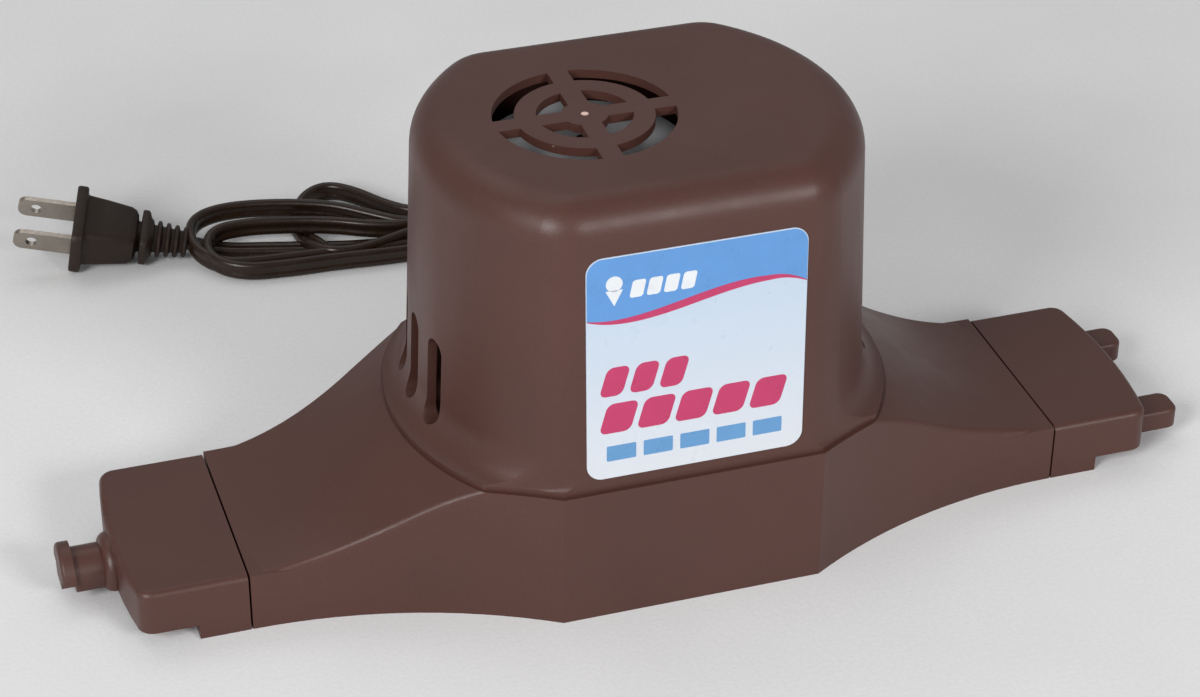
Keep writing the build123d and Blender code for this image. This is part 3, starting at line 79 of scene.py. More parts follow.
# The cord's route as control points of one spline, from the strain relief to the plug's boot:
# x, y, z in millimetres, and tilt where the cord lies over on its side.
CORD_ROUTE = [
    (10, 70, 9.2), (10, 84, 9.2), (14, 97.5, 5.4), (24, 107.5, 2.9), (38, 113, 2.85), (50, 116, 2.85),
    # first right end, behind the dome, and the short lobe, which dips flat under the two loops
    (62.5, 122.5, 2.8), (66, 134, 2.8), (61, 146, 2.8), (48, 151.2, 2.8), (30, 150.8, 2.8), (12, 148, 2.8),
    (-4, 144.6, 2.8), (-12, 143.6, 2.8), (-19, 145.4, 2.8), (-25.5, 152, 2.8), (-31, 160.5, 2.8),
    (-37.5, 166.5, 2.8), (-44, 165, 2.6, HALF_FLAT), (-48.5, 159.5, 1.6, FLAT), (-51, 151.5, 1.5, FLAT),
    (-51.2, 143.5, 1.9, FLAT), (-50, 136.5, 4.2, FLAT), (-46.5, 130.5, 3.8, HALF_FLAT), (-40.5, 128.2, 3.2),
    (-32, 128.6, 4.2), (-22, 130.2, 5.6), (-13, 131.4, 5), (-4, 132.5, 3.2),
    # second right end and the inner loop
    (12, 129.5, 2.8), (30, 127.4, 2.8), (44, 127, 2.8), (52.5, 129.8, 2.8), (55, 135.5, 2.8),
    (52.5, 141.5, 2.8), (44, 144.2, 2.8), (30, 143.8, 2.8), (12, 140.6, 2.8),
    (-4, 138.6, 3.4), (-13, 136.2, 5.2), (-22, 133, 5.8), (-33, 136, 5.8), (-43, 141, 6.1), (-56, 145, 6.2),
    (-68, 147.4, 6.1), (-76.5, 146.4, 6), (-80, 141, 4.8), (-79.2, 134.6, 3.4), (-72, 128.6, 2.8),
    (-60, 127, 2.8), (-46, 126.6, 2.8), (-36, 125.6, 2.8), (-22, 124.7, 2.8), (-4, 125.5, 2.8),
    # third right end and the outer loop
    (12, 126, 2.8), (30, 124, 2.8), (45, 123.6, 2.8), (55, 127, 2.8), (58.5, 135, 2.8), (55, 144, 2.8),
    (45, 147.6, 2.8), (30, 147.2, 2.8), (12, 144.2, 2.8),
    (-4, 141.6, 3.2), (-13, 139.4, 3.6), (-22, 137, 4), (-32, 143.4, 5.2), (-41, 149.4, 6.3), (-54, 154, 6.6),
    (-67, 157.2, 6.4), (-76, 156.6, 6.3), (-81.6, 152.6, 6.2), (-83.6, 146, 5.8), (-82.6, 139.4, 4.2),
    (-77, 133.2, 2.9), (-68, 131.4, 2.8), (-58, 130.8, 2.8), (-46, 130, 2.8), (-36, 128.8, 2.8),
    (-22, 127.5, 2.8), (-4, 129, 3.2),
    # last right end, on top of the others, and the flat run under the lobe and the loops into the boot
    (4, 131, 5.4), (13, 131, 8), (26, 127, 8.4), (40, 124.6, 8.4), (51, 126, 8.4), (57, 132, 8.4),
    (56, 140, 8.4), (48, 145, 8.4), (36, 145, 8.4), (22, 141.4, 8.4), (10, 138, 6.4),
    (-4, 135.4, 3), (-13, 133.6, 2.6, HALF_FLAT), (-22, 132.6, 1.5, FLAT), (-32, 133.4, 1.5, FLAT),
    (-42, 135.2, 1.5, FLAT), (-54, 138.6, 1.5, FLAT), (-64, 141.4, 1.5, FLAT),
    (-71.5, 143, 1.7, FLAT), (-77.5, 144.2, 2.6, FLAT), (-84.6, 145.8, 4.9, FLAT),
]


def cord_section():
    """Closed outline of the flat twin cord: two round conductors joined by a thinner web."""
    radius = CORD_THICKNESS / 2 / SECTION_UNIT
    centre = CORD_WIDTH / 2 / SECTION_UNIT - radius
    half_web = CORD_WEB / 2 / SECTION_UNIT
    steps = 40
    corners = []
    for step in range(steps):
        angle = 2 * pi * step / steps
        along = (centre + radius) * sin(angle)
        over = max(radius**2 - (abs(along) - centre) ** 2, 0)
        across = max(sqrt(over), half_web if abs(along) < centre else 0)
        corners.append((across if cos(angle) > 0 else -across, along))
    data = bpy.data.curves.new("cord_section", "CURVE")
    spline = data.splines.new("POLY")
    spline.points.add(len(corners) - 1)
    for point, (x, y) in zip(spline.points, corners):
        point.co = (x, y, 0, 1)
    spline.use_cyclic_u = True
    section = bpy.data.objects.new("cord_section", data)
    section.hide_render = True
    section.hide_viewport = True
    SCENE.collection.objects.link(section)
    return section


def make_cord():
    data = bpy.data.curves.new("mains_cord", "CURVE")
    data.dimensions = "3D"
    data.twist_mode = "Z_UP"
    data.resolution_u = 10
    data.bevel_mode = "OBJECT"
    data.bevel_object = cord_section()
    data.use_fill_caps = True
    spline = data.splines.new("NURBS")
    spline.points.add(len(CORD_ROUTE) - 1)
    for point, (x, y, z, *tilt) in zip(spline.points, CORD_ROUTE):
        point.co = (x * MM, y * MM, z * MM, 1)
        point.tilt = tilt[0] if tilt else 0
        point.radius = SECTION_UNIT
    spline.order_u = 3
    spline.use_endpoint_u = True
    cord = bpy.data.objects.new("mains_cord", data)
    SCENE.collection.objects.link(cord)
    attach(cord, "housing")
    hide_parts("cord_lead", "cord_hank")
    return cord


cord = make_cord()

# ---------------------------------------------------------------- mesh helpers


def new_piece(name, mesh, body, slot, *replaced):
    """Link a finished mesh as a piece that rides on a body."""
    piece = bpy.data.objects.new(name, mesh)
    SCENE.collection.objects.link(piece)
    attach(piece, body)
    if replaced:
        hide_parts(*replaced)
    return piece


def smooth(mesh, angle):
    """Shade smooth, but keep edges sharper than the angle sharp."""
    mesh.polygons.foreach_set("use_smooth", [True] * len(mesh.polygons))
    mesh.set_sharp_from_angle(angle=angle)


def loft(name, rings, closed_start=True, closed_end=True):
    """Mesh through rings of points, all with the same number of points."""
    mesh = bpy.data.meshes.new(name)
    shape = bmesh.new()
    rows = [[shape.verts.new(point) for point in ring] for ring in rings]
    count = len(rings[0])
    for low, high in zip(rows, rows[1:]):
        for i in range(count):
            shape.faces.new((low[i], low[(i + 1) % count], high[(i + 1) % count], high[i]))
    if closed_start:
        shape.faces.new(rows[0][::-1])
    if closed_end:
        shape.faces.new(rows[-1])
    bmesh.ops.recalc_face_normals(shape, faces=shape.faces)
    shape.to_mesh(mesh)
    shape.free()
    return mesh


def rounded_rectangle(width, height, radius, steps=8):
    """Corner-rounded outline about the origin, counterclockwise, as (across, along) pairs."""
    radius = min(radius, width / 2, height / 2)
    outline = []
    for quarter in range(4):
        side_x = 1 if quarter in (0, 3) else -1
        side_y = 1 if quarter in (0, 1) else -1
        for step in range(steps + 1):
            angle = quarter * pi / 2 + step * pi / 2 / steps
            outline.append(
                (side_x * (width / 2 - radius) + radius * cos(angle),
                 side_y * (height / 2 - radius) + radius * sin(angle))
            )
    return outline


# ---------------------------------------------------------------- plug
PLUG_FACE = Vector((-115.2, 153.5, 10.6)) * MM
PLUG_TURN = radians(-14.0)      # from +X to the plug's axis, blades towards -X
PLUG_DIP = radians(10.5)        # the axis falls from the blades to the cord
PLUG_ROLL = radians(16.0)       # far blade raised
PLUG_AXIS = Vector((cos(PLUG_DIP) * cos(PLUG_TURN), cos(PLUG_DIP) * sin(PLUG_TURN), -sin(PLUG_DIP)))
PLUG_LEVEL = Vector((-sin(PLUG_TURN), cos(PLUG_TURN), 0))
PLUG_ACROSS = Matrix.Rotation(PLUG_ROLL, 3, PLUG_AXIS) @ PLUG_LEVEL     # from blade to blade
PLUG_FLAT = PLUG_AXIS.cross(PLUG_ACROSS)
BOOT_START = 22.4
BOOT_END = 32.2
BOOT_RINGS = 4
BOOT_FLATNESS = 0.86             # size along the blades over the size across them

# Stations of the moulded plug along its axis, in millimetres: distance, height, width, corner radius.
PLUG_STATIONS = [
    (0.5, 20.2, 13.4, 2.2), (0.0, 21.2, 14.4, 2.6), (0.15, 22.0, 15.2, 2.9), (0.7, 22.4, 15.5, 3.0),
    (2.4, 22.4, 15.5, 3.0), (2.95, 22.0, 15.2, 2.9), (3.2, 21.0, 14.4, 2.6), (3.25, 18.2, 13.4, 2.4),
    (3.7, 17.6, 12.9, 2.4), (9.0, 16.6, 12.0, 2.4), (15.8, 15.2, 10.6, 2.6), (17.2, 14.4, 9.8, 3.0),
    (17.9, 12.6, 8.6, 3.4), (18.1, 9.6, 7.4, 3.6), (18.8, 9.0, 7.2, 3.6), (19.0, 15.4, 9.4, 3.2),
    (19.4, 16.0, 9.8, 3.4), (20.6, 16.0, 9.8, 3.4), (21.1, 15.2, 9.6, 3.6), (21.6, 12.4, 9.0, 4.2),
    (22.4, 10.4, 8.6, 4.2),
]


def boot_stations():
    """Ringed, tapering sleeve behind the collar."""
    pitch = (BOOT_END - BOOT_START) / BOOT_RINGS
    stations = []
    for ring in range(BOOT_RINGS):
        start = BOOT_START + ring * pitch
        shrink = 1 - 0.055 * ring
        for share, size in ((0.08, 8.2), (0.40, 8.0), (0.48, 10.2), (0.58, 10.8), (0.82, 10.8), (0.94, 10.2)):
            width = size * shrink * BOOT_FLATNESS
            stations.append((start + share * pitch, size * shrink, width, width / 2))
    stations.append((BOOT_END, 7.6, 5.2, 2.6))
    return stations


def make_plug():
    rings = []
    for distance, height, width, radius in PLUG_STATIONS + boot_stations():
        middle = PLUG_FACE + PLUG_AXIS * distance * MM
        outline = rounded_rectangle(width * MM, height * MM, radius * MM)
        rings.append([middle + PLUG_FLAT * flat + PLUG_ACROSS * across for flat, across in outline])
    mesh = loft("plug_moulding", rings)
    smooth(mesh, radians(32))
    return new_piece("plug_moulding", mesh, "housing", "cord_vinyl", "plug_body")


plug = make_plug()

# ---------------------------------------------------------------- strain relief
RELIEF_X = 10.0
RELIEF_Z = 9.2
RELIEF_WALL_Y = 47.0
RELIEF_END_Y = 70.0
RELIEF_RIBS = 5


def make_strain_relief():
    """Tapered sleeve with ribs, flanged against the back wall, where the cord leaves."""
    wall = RELIEF_WALL_Y
    stations = [(wall - 2.2, 5.0), (wall, 5.0), (wall + 0.01, 6.0), (wall + 0.3, 6.2), (wall + 0.9, 6.2),
                (wall + 1.2, 5.9), (wall + 1.25, 4.9)]
    pitch = (RELIEF_END_Y - wall - 3.0) / RELIEF_RIBS
    for rib in range(RELIEF_RIBS):
        start = wall + 2.0 + rib * pitch
        radius = 4.85 - 0.24 * rib
        for share, inset in ((0.0, 0.0), (0.5, 0.1), (0.56, 0.55), (0.9, 0.6), (0.96, 0.15)):
            stations.append((start + share * pitch, radius - inset))
    stations += [(RELIEF_END_Y - 0.4, 3.5), (RELIEF_END_Y, 3.2)]
    outline = rounded_rectangle(2, 2, 1)
    rings = [
        [Vector((RELIEF_X + r * x, y, RELIEF_Z + r * z)) * MM for x, z in outline] for y, r in stations
    ]
    mesh = loft("cord_grommet", rings)
    smooth(mesh, radians(35))
    return new_piece("cord_grommet", mesh, "housing", "cord_vinyl", "strain_relief")


relief = make_strain_relief()

# ---------------------------------------------------------------- label
LABEL_SIZE = (53.6, 59.0)
LABEL_CORNER = 4.0
LABEL_THICKNESS = 0.3
LABEL_MIDDLE_Z = 69.0
DOME_FOOT = (46.0, 36.0)        # half depth of the dome at its foot, and the foot's height
DOME_DRAFT = radians(2.2)
PRINT_STEP = 0.03               # each printed layer stands this far out, in millimetres
LABEL_UP = Vector((0, sin(DOME_DRAFT), cos(DOME_DRAFT)))
LABEL_OUT = Vector((0, -cos(DOME_DRAFT), sin(DOME_DRAFT)))
LABEL_MIDDLE = Vector((0, -DOME_FOOT[0] + (LABEL_MIDDLE_Z - DOME_FOOT[1]) * sin(DOME_DRAFT) / cos(DOME_DRAFT),
                       LABEL_MIDDLE_Z))


def on_label(across, down, out):
    """Point on the label: across and down in shares of its size from the upper left corner."""
    x = (across - 0.5) * LABEL_SIZE[0]
    y = (0.5 - down) * LABEL_SIZE[1]
    return (LABEL_MIDDLE + Vector((x, 0, 0)) + LABEL_UP * y + LABEL_OUT * out) * MM


def print_layer(name, outlines, layer):
    """Flat printed shapes, each a closed outline of (across, down) shares, as one thin piece."""
    mesh = bpy.data.meshes.new(name)
    shape = bmesh.new()
    out = LABEL_THICKNESS + layer * PRINT_STEP
    for outline in outlines:
        front = [shape.verts.new(on_label(u, v, out)) for u, v in outline]
        back = [shape.verts.new(on_label(u, v, out - PRINT_STEP * 0.9)) for u, v in outline]
        shape.faces.new(front)
        shape.faces.new(back[::-1])
        for i in range(len(outline)):
            j = (i + 1) % len(outline)
            shape.faces.new((front[i], back[i], back[j], front[j]))
    bmesh.ops.recalc_face_normals(shape, faces=shape.faces)
    shape.to_mesh(mesh)
    shape.free()
    return new_piece(name, mesh, "housing", "label")


def label_film():
    """The film itself: a rounded rectangle with a softened edge."""
    rings = []
    for out, inset in ((0.0, 0.0), (0.2, 0.0), (0.27, 0.03), (LABEL_THICKNESS, 0.1)):
        width, height = (side - 2 * inset for side in LABEL_SIZE)
        outline = rounded_rectangle(width, height, LABEL_CORNER - inset, 12)
        rings.append([on_label(0.5 + x / LABEL_SIZE[0], 0.5 - y / LABEL_SIZE[1], out) for x, y in outline])
    mesh = loft("label_film", rings)
    return new_piece("label_film", mesh, "housing", "label", "front_label")


def wave(across):
    """Height share of the swoosh's middle line: low on the left, rising to the right, dipping at its end."""
    rise = min(max((across - 0.15) / 0.65, 0), 1)
    smooth_rise = rise * rise * (3 - 2 * rise)
    start = 0.02 * (1 - min(across / 0.15, 1)) ** 2
    end = 0.04 * (max(across - 0.85, 0) / 0.15) ** 2
    return 0.288 - start - 0.086 * smooth_rise + end


def wave_half(across):
    """Half thickness share of the swoosh: a point at both ends, fullest in the middle."""
    return 0.0015 + 0.016 * sin(pi * min(max(across, 0), 1)) ** 0.8


def edge_inset(down):
    """How far the label's rounded corners cut in, in shares of its width, at a height share."""
    from_edge = min(down, 1 - down) * LABEL_SIZE[1]
    if from_edge >= LABEL_CORNER:
        return 0
    return (LABEL_CORNER - sqrt(LABEL_CORNER**2 - (LABEL_CORNER - from_edge) ** 2)) / LABEL_SIZE[0]


MARGIN = 0.003
WAVE_STEPS = 48


def blue_field():
    """The upper field: the label's outline at the top, the swoosh's line below."""
    down_steps = [0.004, 0.008, 0.014, 0.022, 0.034, 0.05, 0.07]
    left = [(MARGIN + edge_inset(v - MARGIN), v) for v in down_steps]
    right = [(1 - u, v) for u, v in left]
    spots = [MARGIN + (1 - 2 * MARGIN) * i / WAVE_STEPS for i in range(WAVE_STEPS + 1)]
    lower = [(u, wave(u)) for u in spots]
    return [left + lower + right[::-1]]


def swoosh():
    spots = [MARGIN + (1 - 2 * MARGIN) * i / WAVE_STEPS for i in range(WAVE_STEPS + 1)]
    upper = [(u, wave(u) - wave_half(u)) for u in spots]
    lower = [(u, wave(u) + wave_half(u)) for u in spots]
    return [upper + lower[::-1]]


def slanted_bar(left, top, right, bottom, slant=0.16, radius=1.1):
    """Rounded bar leaning to the right, in shares of the label."""
    width = (right - left) * LABEL_SIZE[0]
    height = (bottom - top) * LABEL_SIZE[1]
    outline = rounded_rectangle(width, height, radius, 5)
    middle = ((left + right) / 2, (top + bottom) / 2)
    return [
        (middle[0] + (x + slant * y) / LABEL_SIZE[0], middle[1] - y / LABEL_SIZE[1]) for x, y in outline
    ]


def disc(across, down, radius, steps=28):
    """Circle on the label; the radius is in millimetres."""
    return [
        (across + radius * cos(2 * pi * i / steps) / LABEL_SIZE[0],
         down - radius * sin(2 * pi * i / steps) / LABEL_SIZE[1])
        for i in range(steps)
    ]


def bar_row(left, right, top, bottom, count, gap, **shape):
    """A row of equal bars between left and right."""
    width = (right - left - gap * (count - 1)) / count
    return [
        slanted_bar(left + i * (width + gap), top, left + i * (width + gap) + width, bottom, **shape)
        for i in range(count)
    ]


def cone_mark():
    """A plain ice cream cone: a scoop over a triangle."""
    scoop = disc(0.125, 0.118, 2.0)
    cone = [(0.086, 0.146), (0.164, 0.146), (0.125, 0.215)]
    return [scoop, cone]


label = label_film()
blue_print = print_layer("label_blue_field", blue_field(), 1)
swoosh_print = print_layer("label_swoosh", swoosh(), 2)
white_print = print_layer(
    "label_white_mark", cone_mark() + bar_row(0.20, 0.49, 0.115, 0.19, 4, 0.016, slant=0.2, radius=0.7), 2
)
crimson_print = print_layer(
    "label_crimson_bars",
    bar_row(0.075, 0.45, 0.49, 0.62, 3, 0.03, slant=0.28, radius=1.7)
    + bar_row(0.075, 0.905, 0.655, 0.79, 5, 0.028, slant=0.28, radius=1.7),
    1,
)
block_row = bar_row(0.09, 0.90, 0.85, 0.92, 5, 0.034, slant=0, radius=0.3)
block_print = print_layer("label_blue_blocks", block_row, 1)

# ---------------------------------------------------------------- materials


class Paint:
    """A material's node tree with short ways to add nodes."""

    def __init__(self, name):
        self.material = bpy.data.materials.new(name)
        self.material.use_nodes = True
        self.tree = self.material.node_tree
        self.shader = self.tree.nodes["Principled BSDF"]
        self.place = self.node("ShaderNodeTexCoord").outputs["Object"]

    def node(self, kind, **settings):
        made = self.tree.nodes.new(kind)
        for key, value in settings.items():
            setattr(made, key, value)
        return made

    def link(self, source, socket):
        self.tree.links.new(source, socket)

    def noise(self, scale, detail=3.0, rough=0.5, stretch=None):
        """Fractal noise in the object's own frame; its value is about 0.5 on average."""
        made = self.node("ShaderNodeTexNoise")
        made.inputs["Scale"].default_value = scale
        made.inputs["Detail"].default_value = detail
        made.inputs["Roughness"].default_value = rough
        place = self.place
        if stretch:
            mapping = self.node("ShaderNodeMapping")
            mapping.inputs["Scale"].default_value = stretch
            self.link(place, mapping.inputs["Vector"])
            place = mapping.outputs["Vector"]
        self.link(place, made.inputs["Vector"])
        return made.outputs["Fac"]

    def spread(self, value, low, high, start=0.3, end=0.7):
        """Map a value from start..end to low..high."""
        made = self.node("ShaderNodeMapRange")
        made.inputs["From Min"].default_value = start
        made.inputs["From Max"].default_value = end
        made.inputs["To Min"].default_value = low
        made.inputs["To Max"].default_value = high
        self.link(value, made.inputs["Value"])
        return made.outputs["Result"]

    def mix(self, share, first, second):
        """Colour mix; first and second are colours or sockets."""
        made = self.node("ShaderNodeMix", data_type="RGBA")
        self.link(share, made.inputs["Factor"])
        for socket, colour in ((made.inputs[6], first), (made.inputs[7], second)):
            if isinstance(colour, bpy.types.NodeSocket):
                self.link(colour, socket)
            else:
                socket.default_value = (*colour, 1)
        return made.outputs[2]

    def bump(self, height, strength, distance, below=None):
        made = self.node("ShaderNodeBump")
        made.inputs["Strength"].default_value = strength
        made.inputs["Distance"].default_value = distance
        self.link(height, made.inputs["Height"])
        if below:
            self.link(below, made.inputs["Normal"])
        return made.outputs["Normal"]

    def set(self, **values):
        for key, value in values.items():
            self.shader.inputs[key.replace("_", " ")].default_value = value

    def finish(self, colour, roughness, normal):
        self.link(colour, self.shader.inputs["Base Color"])
        self.link(roughness, self.shader.inputs["Roughness"])
        self.link(normal, self.shader.inputs["Normal"])
        return self.material


def scaled(colour, factor):
    return tuple(channel * factor for channel in colour)


BROWN = (0.073, 0.0275, 0.0205)
SPECK = (0.42, 0.30, 0.26)
GATE_MARK = (0.80, 0.56, 0.50)


def moulded_brown(name, tone=1.0, gate=None):
    """Spark-eroded brown moulding: fine grain, faint flow marks, a few pale specks of dust."""
    paint = Paint(name)
    grain = paint.noise(2300, 2.0, 0.6)
    pebbles = paint.noise(900, 1.0)
    clouds = paint.noise(22, 3.0)
    streaks = paint.noise(60, 4.0, 0.6, (1, 1, 0.25))
    base = paint.mix(paint.spread(clouds, 0, 1), scaled(BROWN, 0.90 * tone), scaled(BROWN, 1.08 * tone))
    base = paint.mix(paint.spread(grain, 0, 0.35, 0.45, 0.75), base, scaled(BROWN, 1.45 * tone))
    cells = paint.node("ShaderNodeTexVoronoi")
    cells.inputs["Scale"].default_value = 85
    paint.link(paint.place, cells.inputs["Vector"])
    dust = paint.spread(cells.outputs["Distance"], 1, 0, 0.016, 0.028)
    picked = paint.node("ShaderNodeMath", operation="GREATER_THAN")
    picked.inputs[1].default_value = 0.78
    paint.link(cells.outputs["Color"], picked.inputs[0])
    specks = paint.node("ShaderNodeMath", operation="MULTIPLY")
    paint.link(dust, specks.inputs[0])
    paint.link(picked.outputs[0], specks.inputs[1])
    base = paint.mix(specks.outputs[0], base, SPECK)
    if gate:
        offset = paint.node("ShaderNodeVectorMath", operation="DISTANCE")
        paint.link(paint.place, offset.inputs[0])
        offset.inputs[1].default_value = gate
        mark = paint.spread(offset.outputs["Value"], 1, 0, 0.75 * MM, 1.0 * MM)
        base = paint.mix(mark, base, GATE_MARK)
    rough = paint.spread(streaks, 0.38, 0.50)
    normal = paint.bump(pebbles, 0.35, 0.06 * MM)
    normal = paint.bump(grain, 0.55, 0.05 * MM, normal)
    paint.set(IOR=1.46)
    return paint.finish(base, rough, normal)


def vinyl(name, colour, gloss):
    """Soft cord vinyl: glossy, with faint draw lines and handling marks."""
    paint = Paint(name)
    clouds = paint.noise(90, 3.0)
    smears = paint.noise(420, 3.0, 0.6)
    base = paint.mix(paint.spread(clouds, 0, 1), scaled(colour, 0.82), scaled(colour, 1.2))
    rough = paint.spread(smears, gloss, gloss + 0.14)
    normal = paint.bump(paint.noise(260, 2.0), 0.25, 0.10 * MM)
    normal = paint.bump(smears, 0.15, 0.03 * MM, normal)
    paint.set(IOR=1.4)
    return paint.finish(base, rough, normal)


def metal(name, colour, low, high, stretch=(1, 1, 1), scale=700, tint=0.25):
    """Plated, turned or cast metal; stretch draws its grain out along an axis."""
    paint = Paint(name)
    grain = paint.noise(scale, 4.0, 0.6, stretch)
    stain = paint.noise(70, 4.0)
    base = paint.mix(paint.spread(stain, 0, 1), scaled(colour, 1 - tint), colour)
    rough = paint.spread(grain, low, high)
    normal = paint.bump(grain, 0.25, 0.03 * MM)
    paint.set(Metallic=1.0)
    return paint.finish(base, rough, normal)


def plain_moulding(name, colour, low=0.38, high=0.55, sheen=0.0):
    """Small plastic or fibre piece with a fine matt grain and slight yellowing in patches."""
    paint = Paint(name)
    grain = paint.noise(1500, 2.0)
    clouds = paint.noise(45, 3.0)
    base = paint.mix(paint.spread(clouds, 0, 1), scaled(colour, 0.86), colour)
    rough = paint.spread(grain, low, high)
    normal = paint.bump(grain, 0.3, 0.04 * MM)
    paint.set(Sheen_Weight=sheen)
    return paint.finish(base, rough, normal)


def layered(name, dark, light, pitch, direction, metallic, rough):
    """Stacked or wound metal: fine even lines across one direction."""
    paint = Paint(name)
    lines = paint.node("ShaderNodeTexWave", wave_type="BANDS", bands_direction=direction)
    lines.inputs["Scale"].default_value = 1 / pitch / 3.2
    lines.inputs["Distortion"].default_value = 0.4
    paint.link(paint.place, lines.inputs["Vector"])
    stain = paint.noise(90, 3.0)
    base = paint.mix(lines.outputs["Fac"], dark, light)
    base = paint.mix(paint.spread(stain, 0, 0.35), base, dark)
    normal = paint.bump(lines.outputs["Fac"], 0.6, 0.12 * MM)
    paint.set(Metallic=metallic)
    return paint.finish(base, paint.spread(stain, rough, rough + 0.15), normal)


def printed(name, colour, shade=0.93):
    """Ink under a gloss film: even colour with a faint mottle and a slightly wavy surface."""
    paint = Paint(name)
    mottle = paint.noise(160, 3.0)
    ripple = paint.noise(55, 2.0)
    base = paint.mix(paint.spread(mottle, 0, 1), scaled(colour, shade), colour)
    normal = paint.bump(ripple, 0.12, 0.08 * MM)
    paint.set(Coat_Weight=0.35, Coat_Roughness=0.12)
    return paint.finish(base, paint.spread(mottle, 0.26, 0.34), normal)


def film_fade(name, upper, lower):
    """The label's pale field, which fades from pale blue at the top to near white at the bottom."""
    paint = Paint(name)
    parts = paint.node("ShaderNodeSeparateXYZ")
    paint.link(paint.place, parts.inputs[0])
    mottle = paint.noise(160, 3.0)
    middle, half = LABEL_MIDDLE_Z * MM, LABEL_SIZE[1] / 2 * MM
    fade = paint.spread(parts.outputs["Z"], 0, 1, middle - half, middle + half * 0.5)
    base = paint.mix(fade, lower, upper)
    base = paint.mix(paint.spread(mottle, 0, 0.06), base, scaled(lower, 0.8))
    normal = paint.bump(paint.noise(55, 2.0), 0.12, 0.08 * MM)
    paint.set(Coat_Weight=0.35, Coat_Roughness=0.12)
    return paint.finish(base, paint.spread(mottle, 0.26, 0.34), normal)


CORD_BROWN = (0.021, 0.0108, 0.0062)
NYLON = (0.80, 0.77, 0.66)
GREY = (0.55, 0.56, 0.58)
ZINC = (0.60, 0.60, 0.58)
CAST = (0.56, 0.57, 0.58)

MATERIALS = {
    "gear_cover": moulded_brown("cover_brown"),
    "base_housing": moulded_brown("base_brown", 0.98),
    "motor_dome": moulded_brown("dome_brown", 1.0, (-13 * MM, 0, 111 * MM)),
    "cooling_fan": plain_moulding("fan_grey", GREY, 0.3, 0.45),
    "wire_connectors": plain_moulding("connector_grey", scaled(GREY, 0.8)),
    "coil_bobbin": plain_moulding("bobbin_nylon", NYLON),
    "idler_gear": plain_moulding("idler_nylon", NYLON),
    "output_gear": plain_moulding("gear_nylon", scaled(NYLON, 0.96)),
    "drive_hub": plain_moulding("hub_nylon", scaled(NYLON, 0.9)),
    "thermal_fuse": plain_moulding("fuse_sleeve", (0.78, 0.77, 0.72), 0.6, 0.8),
    "supply_wires": vinyl("supply_wire_vinyl", (0.03, 0.02, 0.015), 0.4),
    "lead_wires": vinyl("lead_wire_vinyl", (0.62, 0.62, 0.60), 0.4),
    "rubber_mounts": vinyl("mount_rubber", (0.02, 0.02, 0.02), 0.6),
    "gear_plate": metal("plate_zinc", ZINC, 0.25, 0.42, (1, 12, 1)),
    "thrust_washer": metal("washer_zinc", ZINC, 0.2, 0.35),
    "motor_shaft": metal("shaft_steel", scaled(ZINC, 0.95), 0.12, 0.25, (1, 1, 14)),
    "idler_pin": metal("pin_steel", scaled(ZINC, 0.9), 0.12, 0.25, (1, 1, 14)),
    "lower_bracket": metal("lower_bracket_cast", CAST, 0.4, 0.6, scale=500),
    "upper_bracket": metal("upper_bracket_cast", CAST, 0.4, 0.6, scale=500),
    "rotor_end_rings": metal("end_ring_cast", scaled(CAST, 0.95), 0.35, 0.55, scale=500),
    "shading_rings": metal("ring_copper", (0.72, 0.34, 0.20), 0.2, 0.4),
    "motor_pinion": metal("pinion_brass", (0.74, 0.55, 0.25), 0.2, 0.38),
    "lower_bearing": metal("lower_bearing_bronze", (0.52, 0.34, 0.17), 0.4, 0.6, scale=1600),
    "upper_bearing": metal("upper_bearing_bronze", (0.54, 0.36, 0.18), 0.4, 0.6, scale=1600),
    "hub_bushing": metal("bushing_bronze", (0.56, 0.38, 0.2), 0.35, 0.55, scale=1600),
    "stator_laminations": layered(
        "stator_steel", (0.07, 0.075, 0.085), (0.2, 0.21, 0.23), 0.6 * MM, "Z", 0.9, 0.35
    ),
    "rotor_core": layered("rotor_steel", (0.1, 0.1, 0.11), (0.26, 0.27, 0.28), 0.6 * MM, "Z", 0.9, 0.32),
    "motor_coil": layered(
        "winding_copper", (0.30, 0.09, 0.035), (0.78, 0.34, 0.16), 0.45 * MM, "Y", 1.0, 0.22
    ),
    "plug_blades": metal("blade_nickel", (0.46, 0.41, 0.36), 0.22, 0.42, (1, 1, 9), 500, 0.35),
}
for group in ("cover_screws", "dome_screws", "plate_screws", "mount_screws", "motor_screws"):
    MATERIALS[group] = metal(f"{group}_zinc", ZINC, 0.22, 0.4)

for node_name, material in MATERIALS.items():
    slots = NODES[node_name].data.materials
    slots.clear()
    slots.append(material)

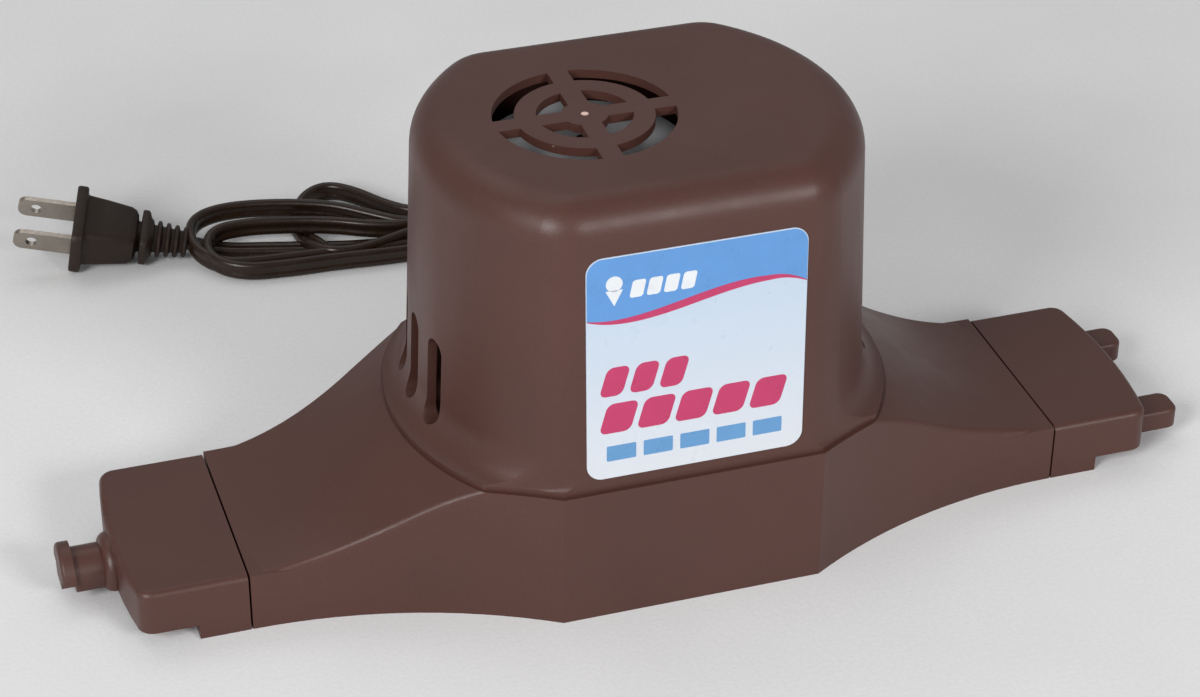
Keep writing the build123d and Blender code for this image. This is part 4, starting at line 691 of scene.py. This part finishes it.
for piece, material in (
    (cord, vinyl("cord_vinyl", CORD_BROWN, 0.22)),
    (plug, vinyl("plug_vinyl", scaled(CORD_BROWN, 0.9), 0.46)),
    (relief, vinyl("grommet_vinyl", scaled(CORD_BROWN, 0.95), 0.42)),
    (label, film_fade("label_pale", (0.50, 0.60, 0.72), (0.66, 0.69, 0.74))),
    (blue_print, printed("label_blue", (0.098, 0.285, 0.63))),
    (swoosh_print, printed("label_swoosh_ink", (0.50, 0.026, 0.12))),
    (white_print, printed("label_white_ink", (0.74, 0.77, 0.80))),
    (crimson_print, printed("label_crimson_ink", (0.50, 0.026, 0.12))),
    (block_print, printed("label_block_ink", (0.11, 0.30, 0.57))),
):
    piece.data.materials.clear()
    piece.data.materials.append(material)

# ---------------------------------------------------------------- floor and light
FLOOR_SIZE = 6.0


def make_floor():
    """Plain pale cloth."""
    mesh = bpy.data.meshes.new("floor")
    shape = bmesh.new()
    bmesh.ops.create_grid(shape, x_segments=4, y_segments=4, size=FLOOR_SIZE / 2)
    shape.to_mesh(mesh)
    shape.free()
    floor = bpy.data.objects.new("floor", mesh)
    SCENE.collection.objects.link(floor)
    paint = Paint("floor_cloth")
    weave = paint.noise(900, 2.0)
    clouds = paint.noise(9, 3.0)
    base = paint.mix(paint.spread(clouds, 0, 1), (0.79, 0.79, 0.795), (0.87, 0.87, 0.875))
    base = paint.mix(paint.spread(weave, 0, 0.25), base, (0.68, 0.68, 0.68))
    normal = paint.bump(weave, 0.35, 0.15 * MM)
    mesh.materials.append(paint.finish(base, paint.spread(weave, 0.8, 0.95), normal))


SURROUND_STRENGTH = 0.34


def area_light(name, place, target, size, power):
    """Rectangular lamp of the given size in metres and power in watts, turned towards the target."""
    data = bpy.data.lights.new(name, "AREA")
    data.shape = "RECTANGLE"
    data.size, data.size_y = size
    data.energy = power
    light = bpy.data.objects.new(name, data)
    light.location = place
    light.rotation_mode = "QUATERNION"
    light.rotation_quaternion = (Vector(target) - Vector(place)).to_track_quat("-Z", "Y")
    SCENE.collection.objects.link(light)


def make_light():
    """Low soft boxes on the left and at the front right, a weak one high behind, and an even surround."""
    area_light("key_light", (-1.0, -0.8, 0.78), (0, 0, 0.05), (0.5, 0.5), 12.5)
    area_light("front_light", (0.55, -1.3, 0.75), (0, 0, 0.05), (0.5, 0.3), 9.5)
    area_light("overhead_light", (-0.1, 0.75, 1.3), (0, 0.05, 0.02), (1.2, 0.7), 2.5)
    world = bpy.data.worlds.new("surround")
    world.use_nodes = True
    background = world.node_tree.nodes["Background"]
    background.inputs["Color"].default_value = (1, 1, 1, 1)
    background.inputs["Strength"].default_value = SURROUND_STRENGTH
    SCENE.world = world
    SCENE.view_settings.view_transform = "Standard"


make_floor()
make_light()
